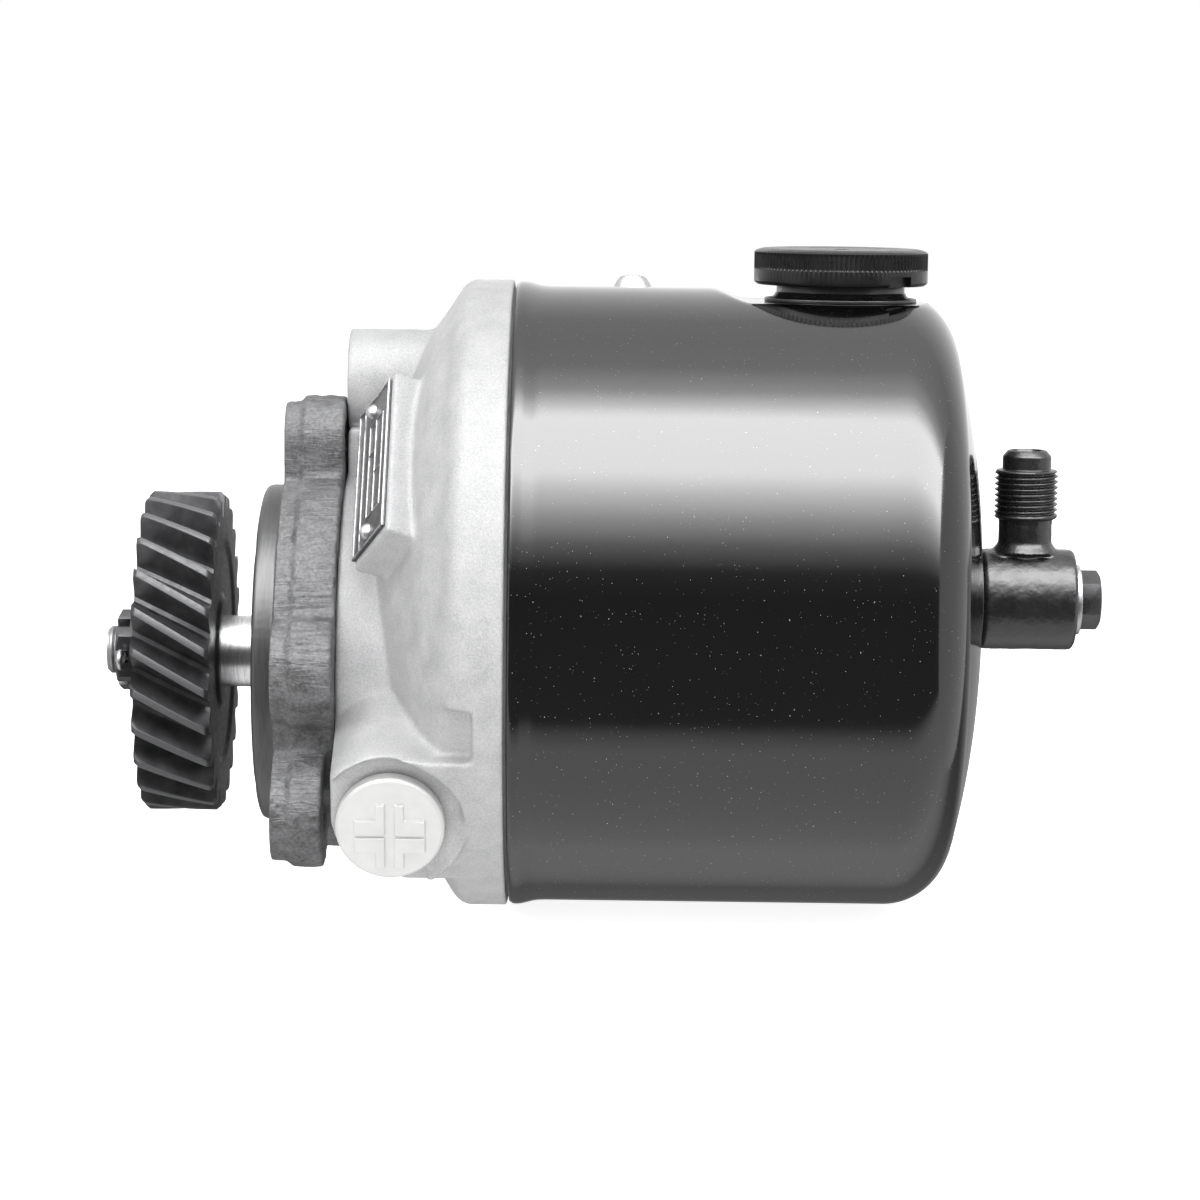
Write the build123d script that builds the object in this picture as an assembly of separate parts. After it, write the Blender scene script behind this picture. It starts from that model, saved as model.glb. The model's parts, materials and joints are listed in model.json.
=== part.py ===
from build123d import *
from math import acos, cos, degrees, pi, radians, sin, sqrt, tan
import os

# Tractor power-steering pump with an integral oil reservoir, in millimetres.
# The drive shaft runs along X. The origin is the centre of the flange's mounting face,
# +X points into the reservoir and +Z is up.

# Main axes
GEAR_CENTRES = 31.75                    # between the two pump gears
RES_UP = GEAR_CENTRES / 2               # reservoir axis above the drive shaft
RUNNING = 0.05                          # radial clearance of a running fit

# Mounting flange
FLANGE_T = 15.0
DISC_R = 49.0
PILOT_R, PILOT_L, PILOT_ROUND = 42.4, 5.9, 1.6
MOUNT_PCD, MOUNT_HOLE_R = 110.0, 5.5
LUGS = ((97, 11.0, FLANGE_T), (217, 13.3, 12.6), (337, 13.3, 12.6))   # angle, radius, thickness
LOBE_ANGLES, LOBE_AT, LOBE_R = (178, 58, 298), 44.5, 14.0
FRONT_LAYER, FRONT_INSET = 4.5, 1.5      # the layer behind the mounting face is smaller
FLANGE_BOLT_AT, FLANGE_BOLT_R = 33.5, 4.0

# Ball bearing in the flange
BEARING_X, BEARING_W = -2.6, 14.0
BEARING_BORE_R, BEARING_OUT_R = 10.0, 23.5
BALL_R, BALL_PITCH_R, BALL_COUNT, GROOVE_R = 3.97, 16.75, 8, 4.05
BEARING_MID = BEARING_X + BEARING_W / 2

# Drive shaft and helical gear
THREAD_END = -45.6
GEAR_X0, GEAR_X1 = -35.4, -16.4
GEAR_TEETH, GEAR_TIP_R, GEAR_ROOT_R = 25, 40.3, 34.4
GEAR_HELIX = 30.0                       # degrees at the tips
GEAR_PHASE = 172.4                      # one tooth's angle at the left face
JOURNAL_R = 9.0
NUT_AF, NUT_H, NUT_SLOT = 18.0, 6.4, 3.4
PIN_X, PIN_ANGLE, PIN_R = GEAR_X0 - 1.2 - NUT_H + 1.9, 184.0, 1.1

# Pump
FRONT_BLOCK = (33.0, 45.0)
GEAR_BODY = (45.0, 65.0)
REAR_COVER = (65.0, 86.0)
BODY_R = 30.0
PUMP_TEETH, PUMP_TIP_R, PUMP_ROOT_R, PRESSURE_ANGLE = 10, 18.7, 12.3, 28.0
PUMP_BACKLASH = 0.16
BUSH_R, BUSH_L = 11.0, 12.0
PUMP_BOLT_PLACES = ((24.5, RES_UP), (-24.5, RES_UP), (0, -24.6), (0, GEAR_CENTRES + 24.6))

# Housing, radii about the reservoir axis
NECK_R = 47.0                           # about the shaft
CONE = ((22.0, 36.7), (30.7, 54.5), (36.9, 67.2))
CORNER = ((40.8, 72.6), (43.0, 76.2), (44.6, 77.9))
RIM_R, RIM_X0, RIM_X1 = 78.8, 46.4, 56.3
SPIGOT_R, SPIGOT_X1 = 75.8, 70.0
PUMP_FACE = 33.0
CAVITY = ((PUMP_FACE, 46.0), (44.5, 69.5), (47.0, 71.8))
SEAL_GROOVE = (64.6, 67.2)
VALVE_UP, VALVE_BOSS_R, VALVE_BORE_R, VALVE_SEAT = 69.5, 12.6, 6.0, 33.6
VALVE_WEB_TOP = 57.9

# Port boss and its plug: the boss points at the near side, a little below the horizontal
PORT_FACE = Vector(29.6, -66.0, -33.0)
PORT_DOWN = 15.0
PORT_R, PORT_BASE_R, PORT_BORE_R, SPOT_R = 18.6, 19.4, 9.0, 17.3
PORT_X0, PORT_FOOT = 15.2, -47.0         # the boss is cut flat beside the flange and below
PORT_SLIM_X, PORT_SLIM_R = 37.8, 14.2   # below the port and towards the flange it's slimmer
PLUG_R, PLUG_HEAD, PLUG_SHANK = 13.0, 4.0, 13.0
GUSSET_RISE = 30.0                      # slope of the port boss where it runs up to the neck
LEDGE_EDGE, LEDGE_SLOPE, LEDGE_FOOT = (-71.8, -16.0), 20.0, -49.2
NOTCH_X1, NOTCH_TOP, NOTCH_R = 49.2, -3.0, 73.6

# Nameplate pad on the housing's cone
PAD_X, PAD_R, PAD_ANGLE, CONE_SLOPE = 23.9, 53.0, 40.0, 64.0
PLATE_LONG, PLATE_SHORT, PLATE_T = 42.5, 17.8, 0.8

# Reservoir can, radii about its own axis
CAN_R, CAN_X0, CAN_T = 77.4, 56.6, 1.4
LIP_R, LIP_X1 = 78.5, 61.8
CORNER_X, CORNER_R = 150.6, 16.0
CAN_END = 172.9
FLAT_UP, FLAT_X0, FLAT_X1 = 74.5, 103.7, 115.7

# Filler neck and cap
NECK_X, NECK_TUBE_R, NECK_BORE_R, NECK_LIP_R = 137.9, 16.0, 14.8, 12.6
NECK_TOP = RES_UP + 81.8
NECK_GAP, EAR_SPAN = 48.0, 36.0
CAP_R, CAP_TOP, CAP_SKIRT = 21.7, RES_UP + 88.5, RES_UP + 78.7

# Return nipple on the far side of the can
NIPPLE_X, NIPPLE_ANGLE, NIPPLE_LEAN, NIPPLE_L = 86.2, 36.0, 11.0, 15.9
NIPPLE_TUBE_R, NIPPLE_BARB_R = 4.9, 6.55

# Outlet
TUBE_R, TUBE_BORE_R, TUBE_SPIGOT_R = 9.5, 5.5, 8.0
TUBE_X0, TUBE_SHOULDER, TUBE_END = 79.0, 170.7, 176.4
FITTING_R, FITTING_X0, FITTING_X1, STUB_X = 12.7, 174.6, 198.3, 185.8
STUB_THREAD_R = 7.94
OUTLET_BOLT_R, OUTLET_HEAD_AF = 4.0, 13.0

# Filter
FILTER_X0, FILTER_X1, FILTER_R = 100.0, 148.0, 36.0
BYPASS_TRAVEL = 4.0

ALONG_X = Vector(1, 0, 0)
SHAFT = (0.0, 0.0)                      # (Y, Z) of the lines that things turn about
RESERVOIR = (0.0, RES_UP)
IDLER = (0.0, GEAR_CENTRES)
VALVE = (0.0, VALVE_UP)


def turned(points, line=SHAFT):
    """Solid of revolution about an X-going line; points are (x, radius)."""
    y, z = line
    outline = Wire.make_polygon([(x, y, z + r) for x, r in points], close=True)
    return Solid.revolve(Face(outline), 360, Axis((0, y, z), ALONG_X))


def rod(x0, x1, radius, line=SHAFT):
    """Cylinder from x0 to x1 along an X-going line."""
    return Solid.make_cylinder(radius, x1 - x0, Plane((x0, line[0], line[1]), z_dir=ALONG_X))


def tube(x0, x1, inner, outer, line=SHAFT):
    """Plain ring or tube along an X-going line."""
    return rod(x0, x1, outer, line) - rod(x0, x1, inner, line)


def post(centre, direction, length, radius, end_radius=None):
    """Cylinder or cone from a point along any direction."""
    place = Plane(centre, z_dir=direction)
    if end_radius is None:
        return Solid.make_cylinder(radius, length, place)
    return Solid.make_cone(radius, end_radius, length, place)


def block(x0, x1, y0, y1, z0, z1):
    """Box given by its limits."""
    return Pos(x0, y0, z0) * Solid.make_box(x1 - x0, y1 - y0, z1 - z0)


def polar(angle, radius, line=SHAFT):
    """(Y, Z) of a point at an angle about an X-going line; 0 is +Y and 90 is +Z."""
    return (line[0] + radius * cos(radians(angle)), line[1] + radius * sin(radians(angle)))


def fuse(shapes):
    """One solid from touching shapes."""
    shapes = list(shapes)
    whole = shapes[0]
    for shape in shapes[1:]:
        whole = whole + shape
    return whole


def cut(whole, tools):
    """A shape less each tool in turn."""
    for tool in tools:
        whole = whole - tool
    return whole


def group(shapes):
    """Separate solids kept together in one node."""
    return Compound(list(shapes))


def hex_prism(x0, x1, across_flats, line=SHAFT, turn=0.0):
    """Hexagon prism along X."""
    corner = across_flats / sqrt(3)
    points = [polar(60 * k + turn, corner, line) for k in range(6)]
    outline = Wire.make_polygon([(x0, y, z) for y, z in points], close=True)
    return Solid.extrude(Face(outline), ALONG_X * (x1 - x0))


def hex_head(x0, x1, across_flats, chamfered_end, line=SHAFT, turn=0.0):
    """Hexagon with the corners of one end turned off at 30 degrees."""
    corner = across_flats / sqrt(3)
    flat = across_flats / 2 * 0.96
    drop = (corner - flat) * tan(radians(30))
    outline = [(x0, 0), (x0, corner), (x1 - drop, corner), (x1, flat), (x1, 0)]
    if chamfered_end < 0:
        outline = [(x0, 0), (x0, flat), (x0 + drop, corner), (x1, corner), (x1, 0)]
    return hex_prism(x0, x1, across_flats, line, turn) & turned(outline, line)


def torus(x, radius, section, line=SHAFT):
    """O-ring about an X-going line."""
    return Solid.make_torus(radius, section, Plane((x, line[0], line[1]), z_dir=ALONG_X))


def coil(x0, x1, radius, wire, turns, line=SHAFT):
    """Compression spring along X, its ends one wire radius inside x0 and x1."""
    height = x1 - x0 - 2 * wire
    start = Vector(x0 + wire, line[0], line[1])
    path = Helix(height / turns, height, radius, center=start, direction=ALONG_X)
    section = Plane(path @ 0, z_dir=path % 0) * Circle(wire)
    return sweep(section, path, is_frenet=True)


def slot_prism(x0, x1, radius):
    """Stadium-shaped plate around both pump gear axes."""
    return fuse((rod(x0, x1, radius), rod(x0, x1, radius, IDLER),
                 block(x0, x1, -radius, radius, 0, GEAR_CENTRES)))


# ---------------------------------------------------------------- gears

def involute_half_angle(radius, base, half_at_pitch, pitch, angle):
    """Half the angle that a pump gear's tooth covers at a radius."""
    def involute(a):
        return tan(a) - a
    at_pitch = involute(radians(angle))
    here = involute(acos(min(1.0, base / radius)))
    return half_at_pitch / pitch + at_pitch - here


def gear_outline(teeth, flank, x, line, phase):
    """Closed outline of a gear; flank lists (radius, half angle) from root to tip."""
    step = 2 * pi / teeth
    points = []
    for k in range(teeth):
        middle = radians(phase) + k * step
        for radius, half in flank:
            points.append((radius, middle - half))
        for radius, half in reversed(flank):
            points.append((radius, middle + half))
    return Wire.make_polygon(
        [(x, line[0] + r * cos(a), line[1] + r * sin(a)) for r, a in points], close=True)


def pump_gear(line, phase):
    """Straight-toothed pump gear with its bore."""
    pitch = GEAR_CENTRES / 2
    base = pitch * cos(radians(PRESSURE_ANGLE))
    half_tooth = (pi * pitch / PUMP_TEETH - PUMP_BACKLASH) / 2
    steps = 6
    radii = [base + (PUMP_TIP_R - base) * k / (steps - 1) for k in range(steps)]
    flank = [(r, involute_half_angle(r, base, half_tooth, pitch, PRESSURE_ANGLE)) for r in radii]
    flank.insert(0, (PUMP_ROOT_R, flank[0][1] + 0.03))
    x0, x1 = GEAR_BODY[0] + 0.1, GEAR_BODY[1] - 0.1
    outline = Face(gear_outline(PUMP_TEETH, flank, x0, line, phase))
    return Solid.extrude(outline, ALONG_X * (x1 - x0)) - rod(x0, x1, JOURNAL_R, line)


def drive_gear():
    """Helical gear with chamfered tooth ends, a dished right face and a keyed bore."""
    width = GEAR_X1 - GEAR_X0
    twist = degrees(width * tan(radians(GEAR_HELIX)) / GEAR_TIP_R)
    half = pi / GEAR_TEETH
    flank = ((GEAR_ROOT_R, half * 0.80), (GEAR_ROOT_R + 1.0, half * 0.66),
             (GEAR_TIP_R - 2.6, half * 0.42), (GEAR_TIP_R, half * 0.15))
    outline = gear_outline(GEAR_TEETH, flank, GEAR_X0, SHAFT, GEAR_PHASE)
    blank = Solid.extrude_linear_with_rotation(
        outline, Vector(GEAR_X0, 0, 0), ALONG_X * width, twist)
    edge = 1.1
    limits = turned([(GEAR_X0, 0), (GEAR_X0, GEAR_TIP_R - edge), (GEAR_X0 + edge, GEAR_TIP_R),
                     (GEAR_X1 - edge, GEAR_TIP_R), (GEAR_X1, GEAR_TIP_R - edge), (GEAR_X1, 0)])
    dish = turned([(GEAR_X1 - 1.6, 14), (GEAR_X1 - 1.6, 27), (GEAR_X1, 28.5), (GEAR_X1, 13)])
    front_dish = turned([(GEAR_X0, 17), (GEAR_X0, 28.5), (GEAR_X0 + 1.6, 27), (GEAR_X0 + 1.6, 18)])
    return cut(blank & limits, (dish, front_dish, rod(GEAR_X0, GEAR_X1, 8), key_slot(GEAR_X0)))


# ---------------------------------------------------------------- shaft line

def key_slot(x0):
    """Space of the drive gear's key."""
    return block(x0, -20.0, -2.5, 2.5, 5.2, 10.4)


def pump_key():
    """Key of the pump's driving gear."""
    return block(48.0, 62.0, -1.5, 1.5, JOURNAL_R - 1.8, JOURNAL_R + 1.4)


def drive_shaft():
    """Stepped shaft from the nut's thread to the pump's rear bush."""
    shaft = turned([
        (THREAD_END, 0), (THREAD_END, 5.2), (THREAD_END + 0.8, 6), (GEAR_X0 + 0.4, 6),
        (GEAR_X0 + 0.4, 8), (GEAR_X1, 8), (GEAR_X1, 9), (-5.5, 9), (-5.5, 10), (11.4, 10),
        (11.4, 12), (14.2, 12), (14.2, 9.5), (26, 9.5), (26, JOURNAL_R),
        (REAR_COVER[0] + BUSH_L, JOURNAL_R), (REAR_COVER[0] + BUSH_L, 0)])
    circlip_groove = tube(-3.8, BEARING_X, 9.4, 11)
    return cut(shaft, (circlip_groove, cotter_hole(), key_slot(GEAR_X0 + 1.0), pump_key()))


def gear_nut():
    """Castle nut that holds the drive gear, with a slot in each of its sides."""
    x0, x1 = GEAR_X0 - 1.2 - NUT_H, GEAR_X0 - 1.2
    nut = hex_head(x0, x1, NUT_AF, -1, turn=PIN_ANGLE + 30)
    slots = [spun(block(x0 - 1, x0 + NUT_SLOT, -20, 20, -1.5, 1.5), PIN_ANGLE + 60 * k)
             for k in range(3)]
    return cut(nut, [rod(x0, x1, 6), *slots])


def cotter_hole():
    """Space that the cotter pin's stem takes in the shaft."""
    return spun(post((PIN_X, -9.4, 0), (0, 1, 0), 21.0, PIN_R), PIN_ANGLE)


def cotter_pin():
    """Split pin through the shaft and the nut's slots, with its eye on the near side."""
    eye = Solid.make_torus(1.9, 0.75, Plane((PIN_X, 12.8, 0), z_dir=(1, 0, 0)))
    return cotter_hole() + spun(eye, PIN_ANGLE)


def bearing_balls():
    """The ball bearing's balls."""
    return group(Pos(BEARING_MID, *polar(360 / BALL_COUNT * k, BALL_PITCH_R)) * Sphere(BALL_R)
                 for k in range(BALL_COUNT))


def bearing_cage():
    """Machined cage with a pocket for each ball."""
    ring = tube(BEARING_MID - 5, BEARING_MID + 5, 15.9, 17.6)
    pockets = (post((BEARING_MID, *polar(360 / BALL_COUNT * k, 14)),
                    (0, *polar(360 / BALL_COUNT * k, 1)), 6, BALL_R + 0.1)
               for k in range(BALL_COUNT))
    return cut(ring, pockets)


def bearing_race(inner, outer):
    """Race with its ball groove."""
    ring = tube(BEARING_X, BEARING_X + BEARING_W, inner, outer)
    return ring - torus(BEARING_MID, BALL_PITCH_R, GROOVE_R)


# ---------------------------------------------------------------- flange

def flange_layer(x0, x1, inset):
    """Disc, lugs and lobes between two X positions, with every edge set in by the inset."""
    body = rod(x0, x1, DISC_R - inset)
    for angle, radius, thickness in LUGS:
        place, end = polar(angle, MOUNT_PCD / 2), min(x1, thickness)
        across = Rot(angle, 0, 0) * Pos(0, 0, inset - radius)
        web = Pos(x0, *polar(angle, MOUNT_PCD / 2 - 18)) * across * \
            Solid.make_box(end - x0, 18, 2 * (radius - inset))
        body = body + rod(x0, end, radius - inset, place) + web
    for angle in LOBE_ANGLES:
        body = body + rod(x0, x1, LOBE_R - inset, polar(angle, LOBE_AT))
    return body


def mounting_flange():
    """Cast flange: disc, three drilled lugs, three plain lobes, pilot and bearing seat."""
    body = flange_layer(0, FRONT_LAYER + 0.5, FRONT_INSET) + flange_layer(FRONT_LAYER, FLANGE_T, 0)
    pilot = turned([(0, 0), (-PILOT_L, 0), (-PILOT_L, PILOT_R - PILOT_ROUND),
                    (-PILOT_L + PILOT_ROUND * 0.3, PILOT_R - PILOT_ROUND * 0.3),
                    (-PILOT_L + PILOT_ROUND, PILOT_R), (0, PILOT_R)])
    tools = [rod(-PILOT_L, BEARING_X + BEARING_W, BEARING_OUT_R),
             rod(BEARING_X + BEARING_W, FLANGE_T, 19.0),
             tube(-4.3, BEARING_X, BEARING_OUT_R - 1, BEARING_OUT_R + 1.2),
             tube(12.9, FLANGE_T, 25.6, 28.4)]
    tools += [rod(-1, FLANGE_T + 1, MOUNT_HOLE_R, polar(angle, MOUNT_PCD / 2))
              for angle, _, _ in LUGS]
    for place in flange_bolt_places():
        tools += [rod(-PILOT_L, 3.0, 6.9, place), rod(3.0, FLANGE_T, FLANGE_BOLT_R + 0.3, place)]
    return cut(body + pilot, tools)


def flange_bolt_places():
    """(Y, Z) of the four screws that clamp the flange to the housing."""
    return [polar(45 + 90 * k, FLANGE_BOLT_AT) for k in range(4)]


def socket_screw(x0, x1, head, head_radius, radius, line):
    """Socket-head screw pointing along +X; x0 is the head's left face."""
    screw = fuse((rod(x0, x0 + head, head_radius, line), rod(x0 + head, x1, radius, line)))
    return screw - hex_prism(x0, x0 + head * 0.5, radius * 1.5, line)


# ---------------------------------------------------------------- housing

def port_axis():
    """Direction that the port boss points in."""
    return Vector(0, -cos(radians(PORT_DOWN)), -sin(radians(PORT_DOWN)))


def on_port(depth):
    """Point on the port's axis, at a depth below the plug's face."""
    return PORT_FACE - port_axis() * depth


def pad_plane(raise_by=0.0):
    """Plane of the nameplate pad: x runs up the plate's long side, y along the cone."""
    across = Vector(0, -cos(radians(PAD_ANGLE)), sin(radians(PAD_ANGLE)))
    slope = radians(CONE_SLOPE)
    normal = ALONG_X * -sin(slope) + across * cos(slope)
    tangent = Vector(0, sin(radians(PAD_ANGLE)), cos(radians(PAD_ANGLE)))
    centre = Vector(PAD_X, 0, RES_UP) + across * PAD_R
    return Plane(centre + normal * raise_by, x_dir=tangent, z_dir=normal)


def spun(shape, angle, line=SHAFT):
    """Shape turned about its own line, which moves its seam."""
    return shape.rotate(Axis((0, line[0], line[1]), ALONG_X), angle)


def along_x(x0, x1, points):
    """Prism along X with its outline given as (Y, Z) points."""
    outline = Wire.make_polygon([(x0, y, z) for y, z in points], close=True)
    return Solid.extrude(Face(outline), ALONG_X * (x1 - x0))


def ledge_top(y, lower_by=0.0):
    """(Y, Z) of the sloping ledge beside the port boss."""
    edge_y, edge_z = LEDGE_EDGE
    return y, edge_z + (y - edge_y) * tan(radians(LEDGE_SLOPE)) - lower_by


def notch():
    """Space above the ledge, cut into the bell's corner."""
    front = along_x(37.0, NOTCH_X1, [ledge_top(-90.0, 0.4), ledge_top(-58.0, 0.4),
                                     (-58.0, NOTCH_TOP), (-90.0, NOTCH_TOP)])
    return front - spun(rod(30.0, RIM_X1, NOTCH_R, RESERVOIR), 61, RESERVOIR)


def housing_outside():
    """Bell, neck, valve boss, port boss, ledge and nameplate pad as one casting."""
    bell = turned([(CONE[0][0], 0), *CONE, *CORNER, (RIM_X0, RIM_R), (RIM_X1, RIM_R),
                   (RIM_X1, SPIGOT_R), (SPIGOT_X1, SPIGOT_R), (SPIGOT_X1, 0)], RESERVOIR)
    neck = rod(FLANGE_T, 38.0, NECK_R)
    web = block(FLANGE_T + 0.7, 31.0, -14.0, 14.0, 36.0, VALVE_WEB_TOP)
    valve_boss = rod(FLANGE_T + 0.2, 43.0, VALVE_BOSS_R, VALVE)
    rise = Vector(0, cos(radians(GUSSET_RISE)), sin(radians(GUSSET_RISE)))
    boss = fuse((post(on_port(PLUG_HEAD + 0.5), -port_axis(), 13.5, PORT_R, PORT_BASE_R),
                 post(on_port(PLUG_HEAD + 14.0), -port_axis(), 20.0, PORT_BASE_R),
                 post(on_port(PLUG_HEAD + 2.0), rise, 26.0, PORT_R - 0.3)))
    boss = boss & block(PORT_X0, 60, -90, -20, PORT_FOOT, 20)
    boss = boss - (block(PORT_X0 - 1, PORT_SLIM_X, -90, -20, PORT_FOOT - 1, PORT_FACE.Z)
                   - post(on_port(-6.0), -port_axis(), 90.0, PORT_SLIM_R))
    ledge = along_x(31.0, RIM_X1 - 0.6, [(-14.0, LEDGE_FOOT), (-76.0, LEDGE_FOOT),
                                         ledge_top(-76.0), ledge_top(-50.0), (-14.0, -20.0)])
    ledge = ledge & spun(rod(30.0, RIM_X1 - 0.6, RIM_R - 0.25, RESERVOIR), 77, RESERVOIR)
    pad = pad_plane() * Pos(-23.2, -10.0, -16.0) * Solid.make_box(46.4, 20.0, 16.0)
    return fuse((spun(bell, 200, RESERVOIR), spun(neck, 33), web, spun(valve_boss, 17, VALVE),
                 boss, ledge, pad))


def pump_housing():
    """Cast bell housing with its hollow, pocket, bores and tapped holes."""
    hollow = turned([(PUMP_FACE, 0), *CAVITY, (SPIGOT_X1 + 1, CAVITY[-1][1]), (SPIGOT_X1 + 1, 0)],
                    RESERVOIR)
    tools = [
        spun(hollow, 150, RESERVOIR),
        notch(),
        rod(FLANGE_T - 1, 24.0, 16.0), rod(24.0, PUMP_FACE + 1, 12.0),
        tube(*SEAL_GROOVE, 73.8, SPIGOT_R + 1, RESERVOIR),
        rod(FLANGE_T - 1, VALVE_SEAT, VALVE_BORE_R, VALVE), rod(VALVE_SEAT, 40.0, 4.4, VALVE),
        post(on_port(-14), -port_axis(), 14 + PLUG_HEAD + 1.05, SPOT_R),
        post(on_port(0), -port_axis(), 34.0, PORT_BORE_R),
    ]
    tools += [rod(FLANGE_T - 1, 28.0, FLANGE_BOLT_R, place) for place in flange_bolt_places()]
    tools += [rod(26.0, PUMP_FACE + 1, 3.0, place) for place in PUMP_BOLT_PLACES]
    tools += [rod(29.0, PUMP_FACE + 1, 2.5, place) for place in dowel_places()]
    return cut(housing_outside(), tools)


def nameplate():
    """Thin plate on the pad, with a hole for each drive screw."""
    plate = pad_plane() * Pos(-PLATE_LONG / 2, -PLATE_SHORT / 2, 0) * \
        Solid.make_box(PLATE_LONG, PLATE_SHORT, PLATE_T)
    return cut(plate, (pad_plane() * Pos(x, y, -1) * Solid.make_cylinder(0.9, 4)
                       for x, y in nameplate_screw_places()))


def nameplate_screw_places():
    """Places of the drive screws in the plate's own plane."""
    return ((-17.5, 1.0), (17.5, 1.0))


def nameplate_screws():
    """Round-head drive screws that stop at the pad's face."""
    screws = []
    for x, y in nameplate_screw_places():
        shank = Solid.make_cylinder(0.9, PLATE_T)
        ball = Pos(0, 0, PLATE_T - 0.7) * Solid.make_sphere(2.3)
        head = ball & Pos(-3, -3, PLATE_T) * Solid.make_box(6, 6, 3)
        screws.append(pad_plane() * Pos(x, y, 0) * fuse((shank, head)))
    return group(screws)


# ---------------------------------------------------------------- pump

def dowel_places():
    """(Y, Z) of the pump's two dowels."""
    return ((25.5, 4.0), (-25.5, GEAR_CENTRES - 4.0))


def bolt_and_dowel_holes(x0, x1):
    """Holes that every pump plate has."""
    return ([rod(x0, x1, 3.15, place) for place in PUMP_BOLT_PLACES]
            + [rod(x0, x1, 2.5, place) for place in dowel_places()])


def seal_groove(x0, x1):
    """Groove round both gears for a block seal."""
    return slot_prism(x0, x1, 21.1) - slot_prism(x0, x1, 19.7)


def front_bearing_block():
    """Plate that carries the front bushes."""
    x0, x1 = FRONT_BLOCK
    tools = bolt_and_dowel_holes(x0, x1) + [rod(x0, x1, BUSH_R), rod(x0, x1, BUSH_R, IDLER)]
    return cut(slot_prism(x0, x1, BODY_R), tools)


def gear_body():
    """Plate with the two gear bores, the suction port and a seal groove in each face."""
    x0, x1 = GEAR_BODY
    tools = bolt_and_dowel_holes(x0, x1) + [
        rod(x0, x1, PUMP_TIP_R + 0.1), rod(x0, x1, PUMP_TIP_R + 0.1, IDLER),
        post((55, -BODY_R, RES_UP), (0, 1, 0), BODY_R, 6.0),
        seal_groove(x0, x0 + 1.2), seal_groove(x1 - 1.2, x1)]
    return cut(slot_prism(x0, x1, BODY_R), tools)


def rear_cover():
    """Cover with the rear bushes, the pressure passage and the stand tube's socket."""
    x0, x1 = REAR_COVER
    tools = [rod(x0, x0 + BUSH_L, BUSH_R), rod(x0, x0 + BUSH_L, BUSH_R, IDLER),
             rod(x0, TUBE_X0, 3.0, (5.5, RES_UP)), rod(TUBE_X0, x1, TUBE_R, RESERVOIR)]
    tools += [rod(x0, x1, 3.15, place) for place in PUMP_BOLT_PLACES]
    tools += [rod(x0, x0 + 5.0, 2.5, place) for place in dowel_places()]
    return cut(slot_prism(x0, x1, BODY_R), tools)


def pump_bolts():
    """Hexagon bolts that clamp the pump to the housing."""
    return group(fuse((rod(26.0, REAR_COVER[1], 3.0, place),
                       hex_head(REAR_COVER[1], REAR_COVER[1] + 4.0, 10.0, 1, place)))
                 for place in PUMP_BOLT_PLACES)


def journal_bushes():
    """Four bronze bushes, two for each gear shaft."""
    starts = (FRONT_BLOCK[0], REAR_COVER[0])
    return group(tube(x, x + BUSH_L, JOURNAL_R + RUNNING, BUSH_R, line)
                 for x in starts for line in (SHAFT, IDLER))


# ---------------------------------------------------------------- reservoir

def can_solid(inset):
    """Solid of the can's outer shape, or of its hollow when inset by the wall."""
    r, end = CAN_R - inset, CAN_END - inset
    corner = CORNER_R - inset
    cx, cr = CORNER_X, CAN_R - CORNER_R
    turn = radians(80)
    top = Vector(cx, 0, r)
    middle = Vector(cx + corner * sin(turn / 2), 0, cr + corner * cos(turn / 2))
    foot = Vector(cx + corner * sin(turn), 0, cr + corner * cos(turn))
    seat = Vector(end, 0, 15.0)
    shoulder = Vector(end - 1.9, 0, 42.0)
    edges = [Edge.make_line((CAN_X0, 0, 0), (CAN_X0, 0, LIP_R - inset)),
             Edge.make_line((CAN_X0, 0, LIP_R - inset), (LIP_X1, 0, LIP_R - inset)),
             Edge.make_line((LIP_X1, 0, LIP_R - inset), (LIP_X1 + 1.8, 0, r)),
             Edge.make_line((LIP_X1 + 1.8, 0, r), top),
             Edge.make_three_point_arc(top, middle, foot),
             Edge.make_three_point_arc(foot, shoulder, seat),
             Edge.make_line(seat, (end, 0, 0)),
             Edge.make_line((end, 0, 0), (CAN_X0, 0, 0))]
    face = Face(Wire(edges)).moved(Location((0, 0, RES_UP)))
    whole = Solid.revolve(face, 360, Axis((0, 0, RES_UP), ALONG_X))
    high, low = RES_UP + CAN_R - inset, RES_UP + FLAT_UP - inset
    wedge = Wire.make_polygon([(FLAT_X0, -40, high), (FLAT_X1, -40, low), (180, -40, low),
                               (180, -40, 130), (FLAT_X0, -40, 130)], close=True)
    return whole - Solid.extrude(Face(wedge), Vector(0, 80, 0))


def nipple_frame():
    """Foot of the return nipple on the can, and the direction it stands in."""
    around = radians(NIPPLE_ANGLE)
    foot = Vector(NIPPLE_X, CAN_R * sin(around), RES_UP + CAN_R * cos(around))
    lean = Vector(0, sin(radians(NIPPLE_LEAN)), cos(radians(NIPPLE_LEAN)))
    return foot, lean


def reservoir_can():
    """Drawn steel can with a flattened seat for the filler neck."""
    foot, lean = nipple_frame()
    tools = (can_solid(CAN_T), rod(CAN_END - 3, CAN_END + 1, TUBE_SPIGOT_R + 0.05, RESERVOIR),
             post((NECK_X, 0, RES_UP + FLAT_UP - 6), (0, 0, 1), 12, NECK_BORE_R),
             post(foot - lean * 12, lean, 30, NIPPLE_TUBE_R))
    return cut(can_solid(0), tools)


def turned_up(points):
    """Solid of revolution about the filler's vertical axis; points are (radius, z)."""
    outline = Wire.make_polygon([(NECK_X + r, 0, z) for r, z in points], close=True)
    return Solid.revolve(Face(outline), 360, Axis((NECK_X, 0, 0), (0, 0, 1)))


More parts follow.
